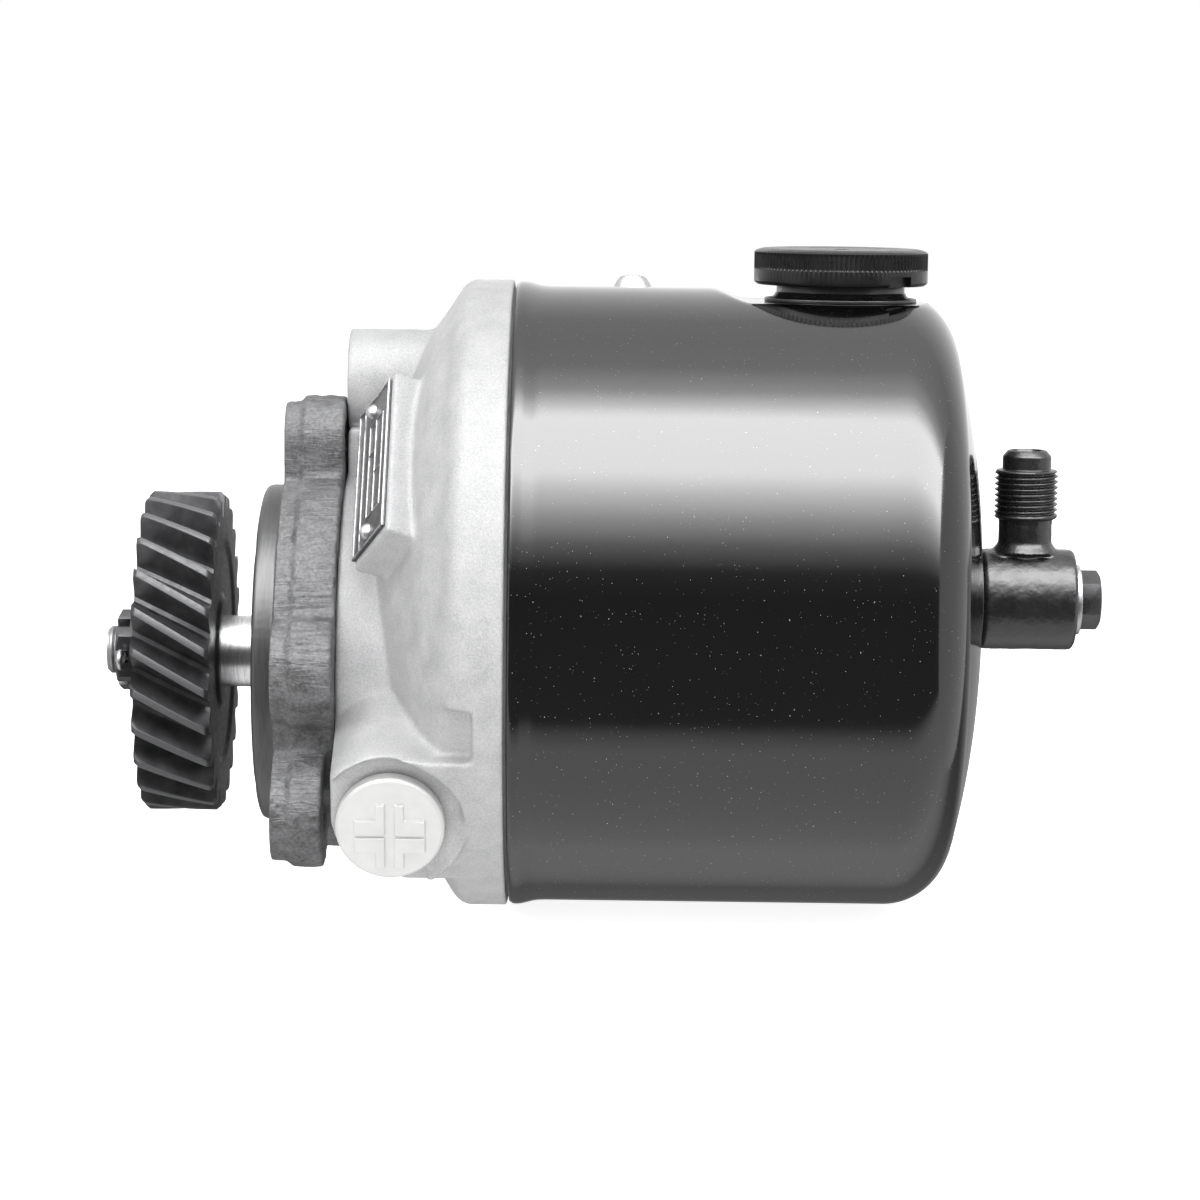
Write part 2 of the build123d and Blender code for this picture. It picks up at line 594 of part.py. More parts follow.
def sector(radius, span, middle, z0, z1):
    """Two opposite sectors about the filler's axis."""
    half = radians(span / 2)
    reach = radius / cos(half)
    pieces = []
    for angle in (radians(middle), radians(middle) + pi):
        corners = [(0, 0)] + [(reach * cos(angle + s), reach * sin(angle + s))
                              for s in (-half, half)]
        outline = Wire.make_polygon([(NECK_X + x, y, z0) for x, y in corners], close=True)
        pieces.append(Solid.extrude(Face(outline), Vector(0, 0, z1 - z0)))
    return pieces


def filler_neck():
    """Pressed neck with a lip that has two gaps for the cap's ears."""
    base = RES_UP + FLAT_UP
    neck = turned_up([(NECK_BORE_R, base), (19.0, base), (19.0, base + 0.9), (16.9, base + 1.2),
                      (NECK_TUBE_R, base + 2.4), (NECK_TUBE_R, NECK_TOP - 1.0),
                      (NECK_TUBE_R - 0.5, NECK_TOP), (NECK_LIP_R, NECK_TOP),
                      (NECK_LIP_R, NECK_TOP - 1.2), (NECK_BORE_R, NECK_TOP - 1.2)])
    throat = turned_up([(0, NECK_TOP - 3), (NECK_BORE_R, NECK_TOP - 3),
                        (NECK_BORE_R, NECK_TOP + 1), (0, NECK_TOP + 1)])
    return cut(neck, (gap & throat for gap in sector(20, NECK_GAP, 0, NECK_TOP - 3, NECK_TOP + 1)))


def filler_cap():
    """Cap shell with a rounded top edge and a notch in its skirt."""
    wall, roof, edge = 1.8, 2.2, 2.4
    outline = [(0, CAP_TOP), (CAP_R - edge, CAP_TOP), (CAP_R - edge * 0.3, CAP_TOP - edge * 0.3),
               (CAP_R, CAP_TOP - edge), (CAP_R, CAP_SKIRT + 0.6), (CAP_R - 0.6, CAP_SKIRT),
               (CAP_R - wall, CAP_SKIRT), (CAP_R - wall, CAP_TOP - roof), (0, CAP_TOP - roof)]
    notch = Pos(NECK_X, 0, CAP_SKIRT) * Rot(0, 0, -50) * Pos(CAP_R - wall - 1, -2.8, -1) * \
        Solid.make_box(6, 5.6, 3.2)
    return turned_up(outline) - notch


def cap_locking_plate():
    """Spring plate under the cap, with two ears that catch under the neck's lip."""
    top = NECK_TOP - 2.6
    disc = post((NECK_X, 0, top - 1.2), (0, 0, 1), 1.2, 11.4)
    reach = post((NECK_X, 0, top - 1.2), (0, 0, 1), 1.2, NECK_BORE_R - 0.6)
    ears = [ear & reach for ear in sector(20, EAR_SPAN, 0, top - 1.2, top)]
    return fuse([disc, *ears])


def return_nipple():
    """Steel hose tail: a tube through the can's wall with one barb at its end."""
    foot, lean = nipple_frame()
    barb = 4.8
    tip = foot + lean * NIPPLE_L
    body = fuse((post(foot - lean * 8, lean, 8 + NIPPLE_L - barb - 1.4, NIPPLE_TUBE_R),
                 post(tip - lean * (barb + 1.4), lean, barb, NIPPLE_BARB_R, 4.4),
                 post(tip - lean * 1.4, lean, 1.4, 4.4, 3.4)))
    return body - post(foot - lean * 9, lean, 40, 2.7)


# ---------------------------------------------------------------- outlet

def stand_tube():
    """Outlet tube from the pump to the can's end, tapped for the outlet bolt."""
    body = turned([(TUBE_X0, 0), (TUBE_X0, TUBE_R), (TUBE_SHOULDER, TUBE_R),
                   (TUBE_SHOULDER, TUBE_SPIGOT_R), (TUBE_END, TUBE_SPIGOT_R), (TUBE_END, 0)],
                  RESERVOIR)
    web = 152.0
    tools = [rod(TUBE_X0, web, TUBE_BORE_R, RESERVOIR),
             rod(web, TUBE_END, OUTLET_BOLT_R, RESERVOIR),
             tube(149.2, 150.6, TUBE_R - 0.8, TUBE_R + 1, RESERVOIR)]
    tools += [rod(web - 0.5, TUBE_END, 1.3, polar(45 + 90 * k, 6.2, RESERVOIR)) for k in range(4)]
    return cut(body, tools)


def outlet_fitting():
    """Banjo body with its vertical threaded stub."""
    def at(up):
        return (STUB_X, 0, RES_UP + up)
    edge = 0.8
    body = turned([(FITTING_X0, 0), (FITTING_X0, FITTING_R - edge), (FITTING_X0 + edge, FITTING_R),
                   (FITTING_X1 - edge, FITTING_R), (FITTING_X1, FITTING_R - edge),
                   (FITTING_X1, 0)], RESERVOIR)
    up = (0, 0, 1)
    stub = fuse((post(at(0), up, 20.5, 6.7), post(at(12.0), up, 2.4, 8.6, 6.7),
                 post(at(20.5), up, 12.4, STUB_THREAD_R), post(at(32.9), up, 3.4, 6.1),
                 post(at(36.3), up, 1.5, 6.1, 4.8)))
    tools = (rod(FITTING_X0, 177.4, TUBE_SPIGOT_R + 0.05, RESERVOIR),
             rod(177.4, 193.0, 5.6, RESERVOIR), rod(193.0, FITTING_X1, 4.1, RESERVOIR),
             post(at(0), up, 38.0, 3.4), post(at(35.8), up, 2.0, 3.4, 4.2))
    return cut(body + stub, tools)


def outlet_bolt():
    """Bolt that clamps the fitting and the can to the stand tube."""
    seat = FITTING_X1 + 1.5
    return fuse((rod(157.0, seat, OUTLET_BOLT_R, RESERVOIR),
                 hex_head(seat, seat + 5.1, OUTLET_HEAD_AF, 1, RESERVOIR, turn=22)))


# ---------------------------------------------------------------- port plug

def port_plug():
    """Plastic plug: shank, round head and four raised L ribs around a cross-shaped slot."""
    out = port_axis()
    shank = post(on_port(PLUG_HEAD + PLUG_SHANK), out, PLUG_SHANK, PORT_BORE_R - 0.1)
    head = fuse((post(on_port(PLUG_HEAD), out, PLUG_HEAD - 0.8, PLUG_R),
                 post(on_port(0.8), out, 0.8, PLUG_R, PLUG_R - 0.8)))
    face = Plane(on_port(0), x_dir=ALONG_X, z_dir=out)
    ribs = []
    for side in (-1, 1):
        for level in (-1, 1):
            lying = Solid.make_box(7.2, 3.8, 0.9).translate(Vector(1.2, 0.3, 0))
            standing = Solid.make_box(2.1, 7.9, 0.9).translate(Vector(1.2, 0.3, 0))
            corner = lying + standing
            if side < 0:
                corner = corner.mirror(Plane.YZ)
            if level < 0:
                corner = corner.mirror(Plane.XZ)
            ribs.append(face * corner.translate(Vector(0, -1.7, 0)))
    hollow = post(on_port(PLUG_HEAD + PLUG_SHANK), out, PLUG_SHANK - 1, PORT_BORE_R - 2.2)
    return fuse([shank, head, *ribs]) - hollow


# ---------------------------------------------------------------- filter

def filter_element():
    """Pleated paper element as the closed ring that its folds fill."""
    folds, inner, depth = 36, 15.5, 2.2
    points = []
    for k in range(folds):
        for radius, share in ((FILTER_R, 0.0), (FILTER_R - depth, 0.5)):
            y, z = polar(360 / folds * (k + share), radius, RESERVOIR)
            points.append((FILTER_X0, y, z))
    outline = Face(Wire.make_polygon(points, close=True))
    ring = Solid.extrude(outline, ALONG_X * (FILTER_X1 - FILTER_X0))
    return ring - rod(FILTER_X0, FILTER_X1, inner, RESERVOIR)


def filter_end_caps():
    """Pressed caps that slide on the stand tube."""
    bore = TUBE_R + RUNNING
    return group((tube(FILTER_X0 - 1, FILTER_X0, bore, FILTER_R + 1, RESERVOIR),
                  tube(FILTER_X1, FILTER_X1 + 1, bore, FILTER_R + 1, RESERVOIR)))


PARTS = {
    "pump_housing": pump_housing,
    "mounting_flange": mounting_flange,
    "flange_o_ring": lambda: torus(13.95, 27.0, 1.05),
    "flange_bolts": lambda: group(socket_screw(-5.0, 26.0, 8.0, 6.5, FLANGE_BOLT_R, place)
                                  for place in flange_bolt_places()),
    "bearing_outer_race": lambda: bearing_race(19.0, BEARING_OUT_R),
    "bearing_inner_race": lambda: bearing_race(BEARING_BORE_R, 14.5),
    "bearing_cage": bearing_cage,
    "bearing_balls": bearing_balls,
    "bearing_snap_ring": lambda: tube(-4.2, BEARING_X, 21.4, 24.6)
    - block(-5, -2, -4, 4, -26, -18),
    "shaft_circlip": lambda: tube(-3.75, BEARING_X, 9.4, 12.4) - block(-5, -2, -3, 3, -14, -5),
    "seal_case": lambda: turned([(15.6, 15.0), (15.6, 16.0), (23.6, 16.0), (23.6, 12.6),
                                 (22.7, 12.6), (22.7, 15.0)]),
    "seal_lip": lambda: turned([(22.6, 14.9), (22.6, 11.6), (20.6, 9.56), (19.4, 9.56),
                                (17.6, 11.2), (17.6, 12.3), (21.2, 12.3), (21.2, 14.9)]),
    "seal_spring": lambda: torus(19.2, 13.05, 0.7),
    "drive_shaft": drive_shaft,
    "drive_gear": drive_gear,
    "gear_key": lambda: key_slot(GEAR_X0 + 1.0),
    "gear_washer": lambda: tube(GEAR_X0 - 1.2, GEAR_X0, 6.0, 12.0),
    "gear_nut": gear_nut,
    "cotter_pin": cotter_pin,
    "front_bearing_block": front_bearing_block,
    "gear_body": gear_body,
    "rear_cover": rear_cover,
    "pump_bolts": pump_bolts,
    "dowel_pins": lambda: group(rod(29.0, 70.0, 2.5, place) for place in dowel_places()),
    "journal_bushes": journal_bushes,
    "block_seals": lambda: group((seal_groove(45.0, 46.2), seal_groove(63.8, 65.0))),
    "pump_drive_gear": lambda: pump_gear(SHAFT, 90.0) - pump_key(),
    "pump_gear_key": pump_key,
    "pump_idler_gear": lambda: pump_gear(IDLER, 270.0 + 180 / PUMP_TEETH),
    "idler_shaft": lambda: rod(33.2, 76.8, JOURNAL_R, IDLER),
    "stand_tube": stand_tube,
    "can_end_seal": lambda: tube(TUBE_SHOULDER, CAN_END - CAN_T, TUBE_SPIGOT_R, 11.0, RESERVOIR),
    "reservoir_can": reservoir_can,
    "can_seal": lambda: torus(65.9, 74.9, 1.05, RESERVOIR),
    "filler_neck": filler_neck,
    "filler_cap": filler_cap,
    "cap_rivet": lambda: post((NECK_X, 0, NECK_TOP - 3.8), (0, 0, 1),
                              CAP_TOP - 2.2 - NECK_TOP + 3.8, 2.5),
    "cap_locking_plate": lambda: cap_locking_plate()
    - post((NECK_X, 0, NECK_TOP - 4), (0, 0, 1), 2, 2.5),
    "cap_gasket": lambda: turned_up([(12.8, NECK_TOP + 0.1), (18.6, NECK_TOP + 0.1),
                                     (18.6, NECK_TOP + 1.9), (12.8, NECK_TOP + 1.9)]),
    "cap_centre_plate": lambda: turned_up([(2.56, NECK_TOP + 1.9), (18.6, NECK_TOP + 1.9),
                                           (18.6, NECK_TOP + 2.8), (2.56, NECK_TOP + 2.8)]),
    "dipstick": lambda: block(NECK_X - 2.5, NECK_X + 2.5, -0.6, 0.6, RES_UP + 42.0,
                              NECK_TOP - 3.8),
    "return_nipple": return_nipple,
    "filter_element": filter_element,
    "filter_end_caps": filter_end_caps,
    "filter_spring": lambda: coil(86.1, 98.9, 13.0, 0.9, 2.5, RESERVOIR),
    "filter_circlip": lambda: tube(149.2, 150.6, TUBE_R - 0.8, TUBE_R + 2.2, RESERVOIR)
    - block(149, 151, -3, 3, RES_UP - 13, RES_UP - 5),
    "outlet_spacer": lambda: tube(CAN_END, FITTING_X0, TUBE_SPIGOT_R + 0.05, 12.9, RESERVOIR),
    "outlet_fitting": outlet_fitting,
    "bolt_washer": lambda: tube(FITTING_X1, FITTING_X1 + 1.5, OUTLET_BOLT_R + 0.1, 8.8, RESERVOIR),
    "outlet_bolt": outlet_bolt,
    "valve_plug": lambda: rod(FLANGE_T + 0.6, 19.0, VALVE_BORE_R, VALVE)
    - hex_prism(FLANGE_T + 0.6, 17.8, 5.0, VALVE),
    "valve_spring": lambda: coil(19.05, 26.95, 4.4, 0.5, 4, VALVE),
    "valve_spool": lambda: turned([(27.0, 0), (27.0, 5.95), (29.2, 5.95), (29.2, 4.2),
                                   (30.9, 4.2), (30.9, 5.95), (33.5, 5.95), (33.5, 0)], VALVE),
    "port_plug": port_plug,
    "plug_seal": lambda: post(on_port(PLUG_HEAD + 1.0), port_axis(), 1.0, 12.2)
    - post(on_port(PLUG_HEAD + 1.0), port_axis(), 1.0, PORT_BORE_R - 0.1),
    "nameplate": nameplate,
    "nameplate_screws": nameplate_screws,
}

os.makedirs("parts", exist_ok=True)
for name, make in PARTS.items():
    export_step(make(), f"parts/{name}.step")
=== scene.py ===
import bpy
import bmesh
import json
import numpy as np
from math import atan2, cos, degrees, exp, hypot, pi, radians, sin, tan
from mathutils import Matrix, Vector, noise


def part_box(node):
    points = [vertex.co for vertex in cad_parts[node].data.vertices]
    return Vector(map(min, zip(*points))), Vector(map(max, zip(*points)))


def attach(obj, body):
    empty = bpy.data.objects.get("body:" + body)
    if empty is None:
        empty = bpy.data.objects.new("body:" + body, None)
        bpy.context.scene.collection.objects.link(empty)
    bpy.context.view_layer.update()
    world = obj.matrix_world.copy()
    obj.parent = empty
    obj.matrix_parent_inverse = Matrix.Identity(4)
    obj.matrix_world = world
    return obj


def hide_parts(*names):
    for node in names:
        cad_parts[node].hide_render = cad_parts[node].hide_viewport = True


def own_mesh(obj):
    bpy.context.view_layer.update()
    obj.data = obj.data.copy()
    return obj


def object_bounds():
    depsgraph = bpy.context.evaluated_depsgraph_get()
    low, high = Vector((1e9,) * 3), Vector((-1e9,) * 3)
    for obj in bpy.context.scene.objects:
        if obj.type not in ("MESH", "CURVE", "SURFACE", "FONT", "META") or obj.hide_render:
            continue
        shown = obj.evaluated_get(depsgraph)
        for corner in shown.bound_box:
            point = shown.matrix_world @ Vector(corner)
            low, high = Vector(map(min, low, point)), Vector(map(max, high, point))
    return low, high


# A tractor power-steering pump with its oil reservoir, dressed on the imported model.
# Units are metres. X runs along the shafts, Z is up, and the camera looks from -Y.

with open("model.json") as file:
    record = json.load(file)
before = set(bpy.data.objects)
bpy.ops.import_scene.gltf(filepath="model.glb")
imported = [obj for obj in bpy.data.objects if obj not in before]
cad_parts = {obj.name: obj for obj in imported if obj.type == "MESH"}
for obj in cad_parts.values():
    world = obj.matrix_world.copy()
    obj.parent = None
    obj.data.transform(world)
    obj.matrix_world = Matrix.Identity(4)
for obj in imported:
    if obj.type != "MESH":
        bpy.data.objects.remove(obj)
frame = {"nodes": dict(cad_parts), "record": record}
CAD_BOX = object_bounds()
NODES = frame["nodes"]
MM = 0.001

# Places shared by several pieces, from the frame
CAN_LOW, CAN_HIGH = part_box("reservoir_can")
RES_UP = 15.875 * MM                                # the reservoir's axis above the shaft
RESERVOIR = Vector((0, 0, RES_UP))
CAP_LOW, CAP_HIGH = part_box("filler_cap")
FILLER = Vector(((CAP_LOW.x + CAP_HIGH.x) / 2, 0, 0))
ALONG_X, UP = Vector((1, 0, 0)), Vector((0, 0, 1))


# ---------------------------------------------------------------- meshes

def link(name, mesh):
    """Object for a mesh, in the scene."""
    obj = bpy.data.objects.new(name, mesh)
    bpy.context.scene.collection.objects.link(obj)
    return obj


def shade(obj, sharp=35):
    """Outward normals, smooth shading and sharp edges above an angle in degrees."""
    work = bmesh.new()
    work.from_mesh(obj.data)
    bmesh.ops.recalc_face_normals(work, faces=work.faces)
    work.to_mesh(obj.data)
    work.free()
    obj.data.shade_smooth()
    obj.data.set_sharp_from_angle(angle=radians(sharp))
    return obj


def apply_modifiers(obj):
    """Keep the shape that an object's modifiers give it."""
    graph = bpy.context.evaluated_depsgraph_get()
    mesh = bpy.data.meshes.new_from_object(obj.evaluated_get(graph))
    obj.modifiers.clear()
    obj.data = mesh
    return obj


def carve(obj, tool):
    """Cut a tool out of an object, and drop the tool."""
    modifier = obj.modifiers.new("carve", "BOOLEAN")
    modifier.operation, modifier.solver = "DIFFERENCE", "EXACT"
    modifier.object = tool
    apply_modifiers(obj)
    bpy.data.objects.remove(tool)
    return obj


def copy_of(name, node):
    """New object with a welded copy of a CAD node's mesh."""
    obj = link(name, NODES[node].data.copy())
    work = bmesh.new()
    work.from_mesh(obj.data)
    bmesh.ops.remove_doubles(work, verts=work.verts, dist=1e-6)
    work.to_mesh(obj.data)
    work.free()
    obj.data.materials.clear()
    return obj


def crisp(name, node, edge):
    """Copy of a CAD node with small rounded edges."""
    obj = copy_of(name, node)
    work = bmesh.new()
    work.from_mesh(obj.data)
    bmesh.ops.dissolve_limit(work, angle_limit=radians(1), verts=work.verts, edges=work.edges)
    work.to_mesh(obj.data)
    work.free()
    bevel = obj.modifiers.new("edge", "BEVEL")
    bevel.width, bevel.segments = edge, 2
    bevel.limit_method, bevel.angle_limit = "ANGLE", radians(30)
    apply_modifiers(obj)
    return shade(obj, 40)


def soften(outline, size, steps=4):
    """Open outline with its corners rounded over a length."""
    smooth = [outline[0]]
    for before, corner, after in zip(outline, outline[1:], outline[2:]):
        here = np.array(corner)
        back, ahead = np.array(before) - here, np.array(after) - here
        reach = min(size, 0.45 * hypot(*back), 0.45 * hypot(*ahead))
        start = here + back / hypot(*back) * reach
        end = here + ahead / hypot(*ahead) * reach
        for s in range(steps + 1):
            t = s / steps
            smooth.append(tuple((1 - t) ** 2 * start + 2 * t * (1 - t) * here + t * t * end))
    return smooth + [outline[-1]]


def divided(start, end, count):
    """Outline points from start to end, both included."""
    return [(start[0] + (end[0] - start[0]) * k / count,
             start[1] + (end[1] - start[1]) * k / count) for k in range(count + 1)]


def lathe(name, outline, origin=RESERVOIR, axis=ALONG_X, segments=192, ripple=None, ring=False,
          sharp=35):
    """Solid turned from (along, radius) points about an axis.

    A ring's outline is closed; another outline's ends are closed on the axis. ripple gives a
    change of radius from (along, radius, angle).
    """
    axis = Vector(axis).normalized()
    side = axis.cross(UP if abs(axis.z) < 0.9 else ALONG_X).normalized()
    other = axis.cross(side)
    vertices = []
    for along, radius in outline:
        for k in range(segments):
            angle = 2 * pi * k / segments
            r = radius + (ripple(along, radius, angle) if ripple else 0)
            vertices.append(origin + axis * along + (side * cos(angle) + other * sin(angle)) * r)
    rows = len(outline)
    faces = []
    for row in range(rows if ring else rows - 1):
        a, b = row * segments, (row + 1) % rows * segments
        faces += [(a + k, a + (k + 1) % segments, b + (k + 1) % segments, b + k)
                  for k in range(segments)]
    if not ring:
        for row, along in ((0, outline[0][0]), (rows - 1, outline[-1][0])):
            middle = len(vertices)
            vertices.append(origin + axis * along)
            faces += [(row * segments + k, row * segments + (k + 1) % segments, middle)
                      for k in range(segments)]
    mesh = bpy.data.meshes.new(name)
    mesh.from_pydata(vertices, [], faces)
    return shade(link(name, mesh), sharp)


def read_points(obj):
    """Places of a mesh's vertices, one row each."""
    points = np.empty(len(obj.data.vertices) * 3)
    obj.data.vertices.foreach_get("co", points)
    return points.reshape(-1, 3)


RELAX_STEP = 0.6                                    # share of the way to the neighbours' mean


def relax(obj, rounds, weight):
    """Smooth a dense mesh; weight gives a share from 0 to 1 for an array of points."""
    mesh, points = obj.data, read_points(obj)
    count = len(points)
    edges = np.empty(len(mesh.edges) * 2, int)
    mesh.edges.foreach_get("vertices", edges)
    a, b = edges.reshape(-1, 2).T
    degree = np.bincount(a, minlength=count) + np.bincount(b, minlength=count)
    share = weight(points)
    for _ in range(rounds):
        total = np.empty_like(points)
        for k in range(3):
            total[:, k] = (np.bincount(a, points[b, k], count)
                           + np.bincount(b, points[a, k], count))
        points += (total / degree[:, None] - points) * share[:, None] * RELAX_STEP
    mesh.vertices.foreach_set("co", points.ravel())
    mesh.update()
    return obj


def casting(name, node, voxel, rounds, weight):
    """Dense copy of a CAD node with blended corners, like a sand casting."""
    obj = copy_of(name, node)
    remesh = obj.modifiers.new("remesh", "REMESH")
    remesh.mode, remesh.voxel_size = "VOXEL", voxel
    remesh.use_smooth_shade = True
    apply_modifiers(obj)
    return relax(obj, rounds, weight)


WEIGHT_LEVELS = 8                                   # steps that a weight is rounded to


def roughen(obj, size, height, weight=None):
    """Push a dense mesh in and out by a cloud pattern of a size and height."""
    clouds = bpy.data.textures.new(obj.name + "_clouds", "CLOUDS")
    clouds.noise_scale, clouds.noise_depth = size, 2
    push = obj.modifiers.new("roughen", "DISPLACE")
    push.texture, push.texture_coords = clouds, "LOCAL"
    push.strength, push.mid_level = height, 0.5
    if weight is not None:
        group = obj.vertex_groups.new(name="rough")
        share = np.clip(weight(read_points(obj)), 0, 1)
        levels = np.round(share * WEIGHT_LEVELS).astype(int)
        for level in range(1, WEIGHT_LEVELS + 1):
            chosen = np.flatnonzero(levels == level).tolist()
            group.add(chosen, level / WEIGHT_LEVELS, "REPLACE")
        push.vertex_group = group.name
    return apply_modifiers(obj)


def dress(obj, body, node, material):
    """Put a piece on its body, in its node's place, with its finish."""
    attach(obj, body)
    if node:
        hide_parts(node)
    obj.data.materials.clear()
    obj.data.materials.append(material)
    return obj


# ---------------------------------------------------------------- materials

AROUND_X = (1, 0.08, 0.08)                          # brushed round the shafts


class Finish:
    """A node material with its Principled shader."""

    def __init__(self, name, color, roughness, metallic=0.0, **settings):
        self.material = bpy.data.materials.new(name)
        self.material.use_nodes = True
        self.tree = self.material.node_tree
        self.shader = self.tree.nodes["Principled BSDF"]
        self.coords = self.tree.nodes.new("ShaderNodeTexCoord").outputs["Object"]
        self.set("Base Color", (*color, 1))
        self.set("Roughness", roughness)
        self.set("Metallic", metallic)
        for key, value in settings.items():
            self.set(key.replace("_", " "), value)

    def set(self, socket, value):
        self.shader.inputs[socket].default_value = value

    def link(self, output, socket):
        self.tree.links.new(output, self.shader.inputs[socket])

    def node(self, kind, inputs=(), **attributes):
        made = self.tree.nodes.new("ShaderNode" + kind)
        for key, value in attributes.items():
            setattr(made, key, value)
        for key, value in dict(inputs).items():
            if isinstance(value, bpy.types.NodeSocket):
                self.tree.links.new(value, made.inputs[key])
            else:
                made.inputs[key].default_value = value
        return made

    def stretched(self, scale):
        """Object coordinates scaled by axis."""
        return self.node("Mapping", {"Vector": self.coords, "Scale": scale}).outputs[0]

    def noise(self, size, detail=2.0, stretch=(1, 1, 1), distortion=0.0, roughness=0.5):
        """Noise with features of about a size in metres."""
        return self.node("TexNoise", {"Vector": self.stretched(stretch), "Scale": 1 / size,
                                      "Detail": detail, "Roughness": roughness,
                                      "Distortion": distortion}).outputs["Fac"]

    def span(self, value, low, high, start=0.0, end=1.0):
        """Value mapped from one range to another and held inside it."""
        return self.node("MapRange", {"Value": value, "From Min": low, "From Max": high,
                                      "To Min": start, "To Max": end}).outputs[0]

    def mix(self, factor, first, second):
        made = self.node("Mix", data_type="RGBA")
        for key, value in (("Factor", factor), ("A", first), ("B", second)):
            index = {"Factor": 0, "A": 6, "B": 7}[key]
            if isinstance(value, bpy.types.NodeSocket):
                self.tree.links.new(value, made.inputs[index])
            else:
                made.inputs[index].default_value = (*value, 1)
        return made.outputs[2]

    def tint(self, factor, first, second):
        """Base colour between two colours."""
        self.link(self.mix(factor, first, second), "Base Color")

    def maths(self, operation, first, second=0.0):
        return self.node("Math", {0: first, 1: second}, operation=operation).outputs[0]

    def bump(self, *layers):
        """Bump from (height output, distance, strength) layers."""
        normal = None
        for height, distance, strength in layers:
            inputs = {"Height": height, "Distance": distance, "Strength": strength}
            if normal is not None:
                inputs["Normal"] = normal
            normal = self.node("Bump", inputs).outputs[0]
        self.link(normal, "Normal")


def cast_aluminium():
    f = Finish("cast aluminium", (0.55, 0.55, 0.56), 0.6, 0.12)
    grain = f.noise(0.42 * MM, 3, roughness=0.65)
    mottle = f.noise(6 * MM, 4)
    f.tint(f.span(f.maths("ADD", grain, f.maths("MULTIPLY", mottle, 0.5)), 0.52, 0.98),
           (0.345, 0.345, 0.35), (0.525, 0.525, 0.53))
    f.link(f.span(mottle, 0.3, 0.7, 0.55, 0.68), "Roughness")
    f.bump((f.noise(1.3 * MM, 2), 0.14 * MM, 0.6), (grain, 0.18 * MM, 1.0))
    return f.material


def cast_iron():
    """Sand-cast skin behind the mounting face at X = 0, and a turned pilot in front of it."""
    f = Finish("cast iron", (0.1, 0.1, 0.1), 0.6, 0.35)
    split = f.node("SeparateXYZ", {"Vector": f.coords})
    skin = f.span(split.outputs[0], -0.2 * MM, 0.15 * MM)
    grain = f.noise(0.8 * MM, 4, roughness=0.6)
    patches = f.noise(7 * MM, 3, stretch=(1, 1, 1.6))
    streaks = f.noise(1.1 * MM, 3, stretch=(0.18, 1, 1), distortion=1.5)
    rough = f.mix(f.span(f.maths("ADD", grain, patches), 0.75, 1.3), (0.050, 0.050, 0.051),
                  (0.165, 0.165, 0.17))
    turned = f.mix(f.span(f.noise(0.5 * MM, 2, stretch=AROUND_X), 0.35, 0.65),
                   (0.052, 0.052, 0.053), (0.068, 0.068, 0.069))
    f.link(f.mix(skin, turned, rough), "Base Color")
    f.link(f.span(f.maths("MULTIPLY", patches, skin), 0.0, 0.7, 0.36, 0.7), "Roughness")
    f.bump((f.maths("MULTIPLY", grain, skin), 0.15 * MM, 0.7),
           (f.maths("MULTIPLY", streaks, skin), 0.5 * MM, 0.6))
    return f.material


def gear_steel():
    f = Finish("phosphated gear steel", (0.045, 0.045, 0.047), 0.42, 0.6)
    split = f.node("SeparateXYZ", {"Vector": f.coords})
    radius = f.maths("SQRT", f.maths("ADD", f.maths("POWER", split.outputs[1], 2.0),
                                     f.maths("POWER", split.outputs[2], 2.0)))
    tip = f.span(radius, 39.9 * MM, 40.15 * MM)     # worn lands, just inside the tip radius
    patches = f.noise(4 * MM, 3)
    dark = f.mix(f.span(patches, 0.3, 0.7), (0.024, 0.024, 0.026), (0.052, 0.052, 0.054))
    f.link(f.mix(tip, dark, (0.088, 0.088, 0.091)), "Base Color")
    f.link(f.maths("ADD", f.span(f.noise(1.2 * MM, 2), 0.3, 0.7, 0.36, 0.5),
                   f.maths("MULTIPLY", tip, 0.2)), "Roughness")
    f.bump((f.noise(0.35 * MM, 2), 0.03 * MM, 0.4), (f.noise(3 * MM, 1), 0.05 * MM, 0.3))
    return f.material


BRUSH = 0.4 * MM                                    # width of the finest brush marks


def steel(name, color, roughness, brushed=(1, 1, 1), depth=0.02 * MM, metallic=1.0):
    """Steel with fine brush marks; brushed is their stretch along each axis."""
    f = Finish(name, color, roughness, metallic)
    lines = f.noise(BRUSH, 2, stretch=brushed)
    low, high = (tuple(c * k for c in color) for k in (0.82, 1.1))
    f.tint(f.span(lines, 0.3, 0.7), low, high)
    patches = f.noise(BRUSH * 9, 2)
    f.link(f.span(patches, 0.3, 0.7, roughness * 0.8, roughness * 1.25), "Roughness")
    f.bump((lines, depth, 0.5))
    return f.material


def shaft_steel():
    """Ground shaft with a dark thread under the nut."""
    f = Finish("ground shaft", (0.56, 0.56, 0.57), 0.26, 1.0)
    split = f.node("SeparateXYZ", {"Vector": f.coords})
    thread = f.span(split.outputs[0], -36.2 * MM, -36.6 * MM)
    lines = f.noise(BRUSH, 2, stretch=AROUND_X)
    ground = f.mix(f.span(lines, 0.3, 0.7), (0.46, 0.46, 0.467), (0.61, 0.61, 0.62))
    f.link(f.mix(thread, ground, (0.24, 0.24, 0.245)), "Base Color")
    f.link(f.span(thread, 0, 1, 0.26, 0.42), "Roughness")
    ridges = f.maths("MULTIPLY", f.maths("PINGPONG", split.outputs[0], 0.75 * MM), thread)
    f.bump((lines, 0.02 * MM, 0.5), (f.maths("MULTIPLY", ridges, 1 / MM), 0.5 * MM, 1.0))
    return f.material


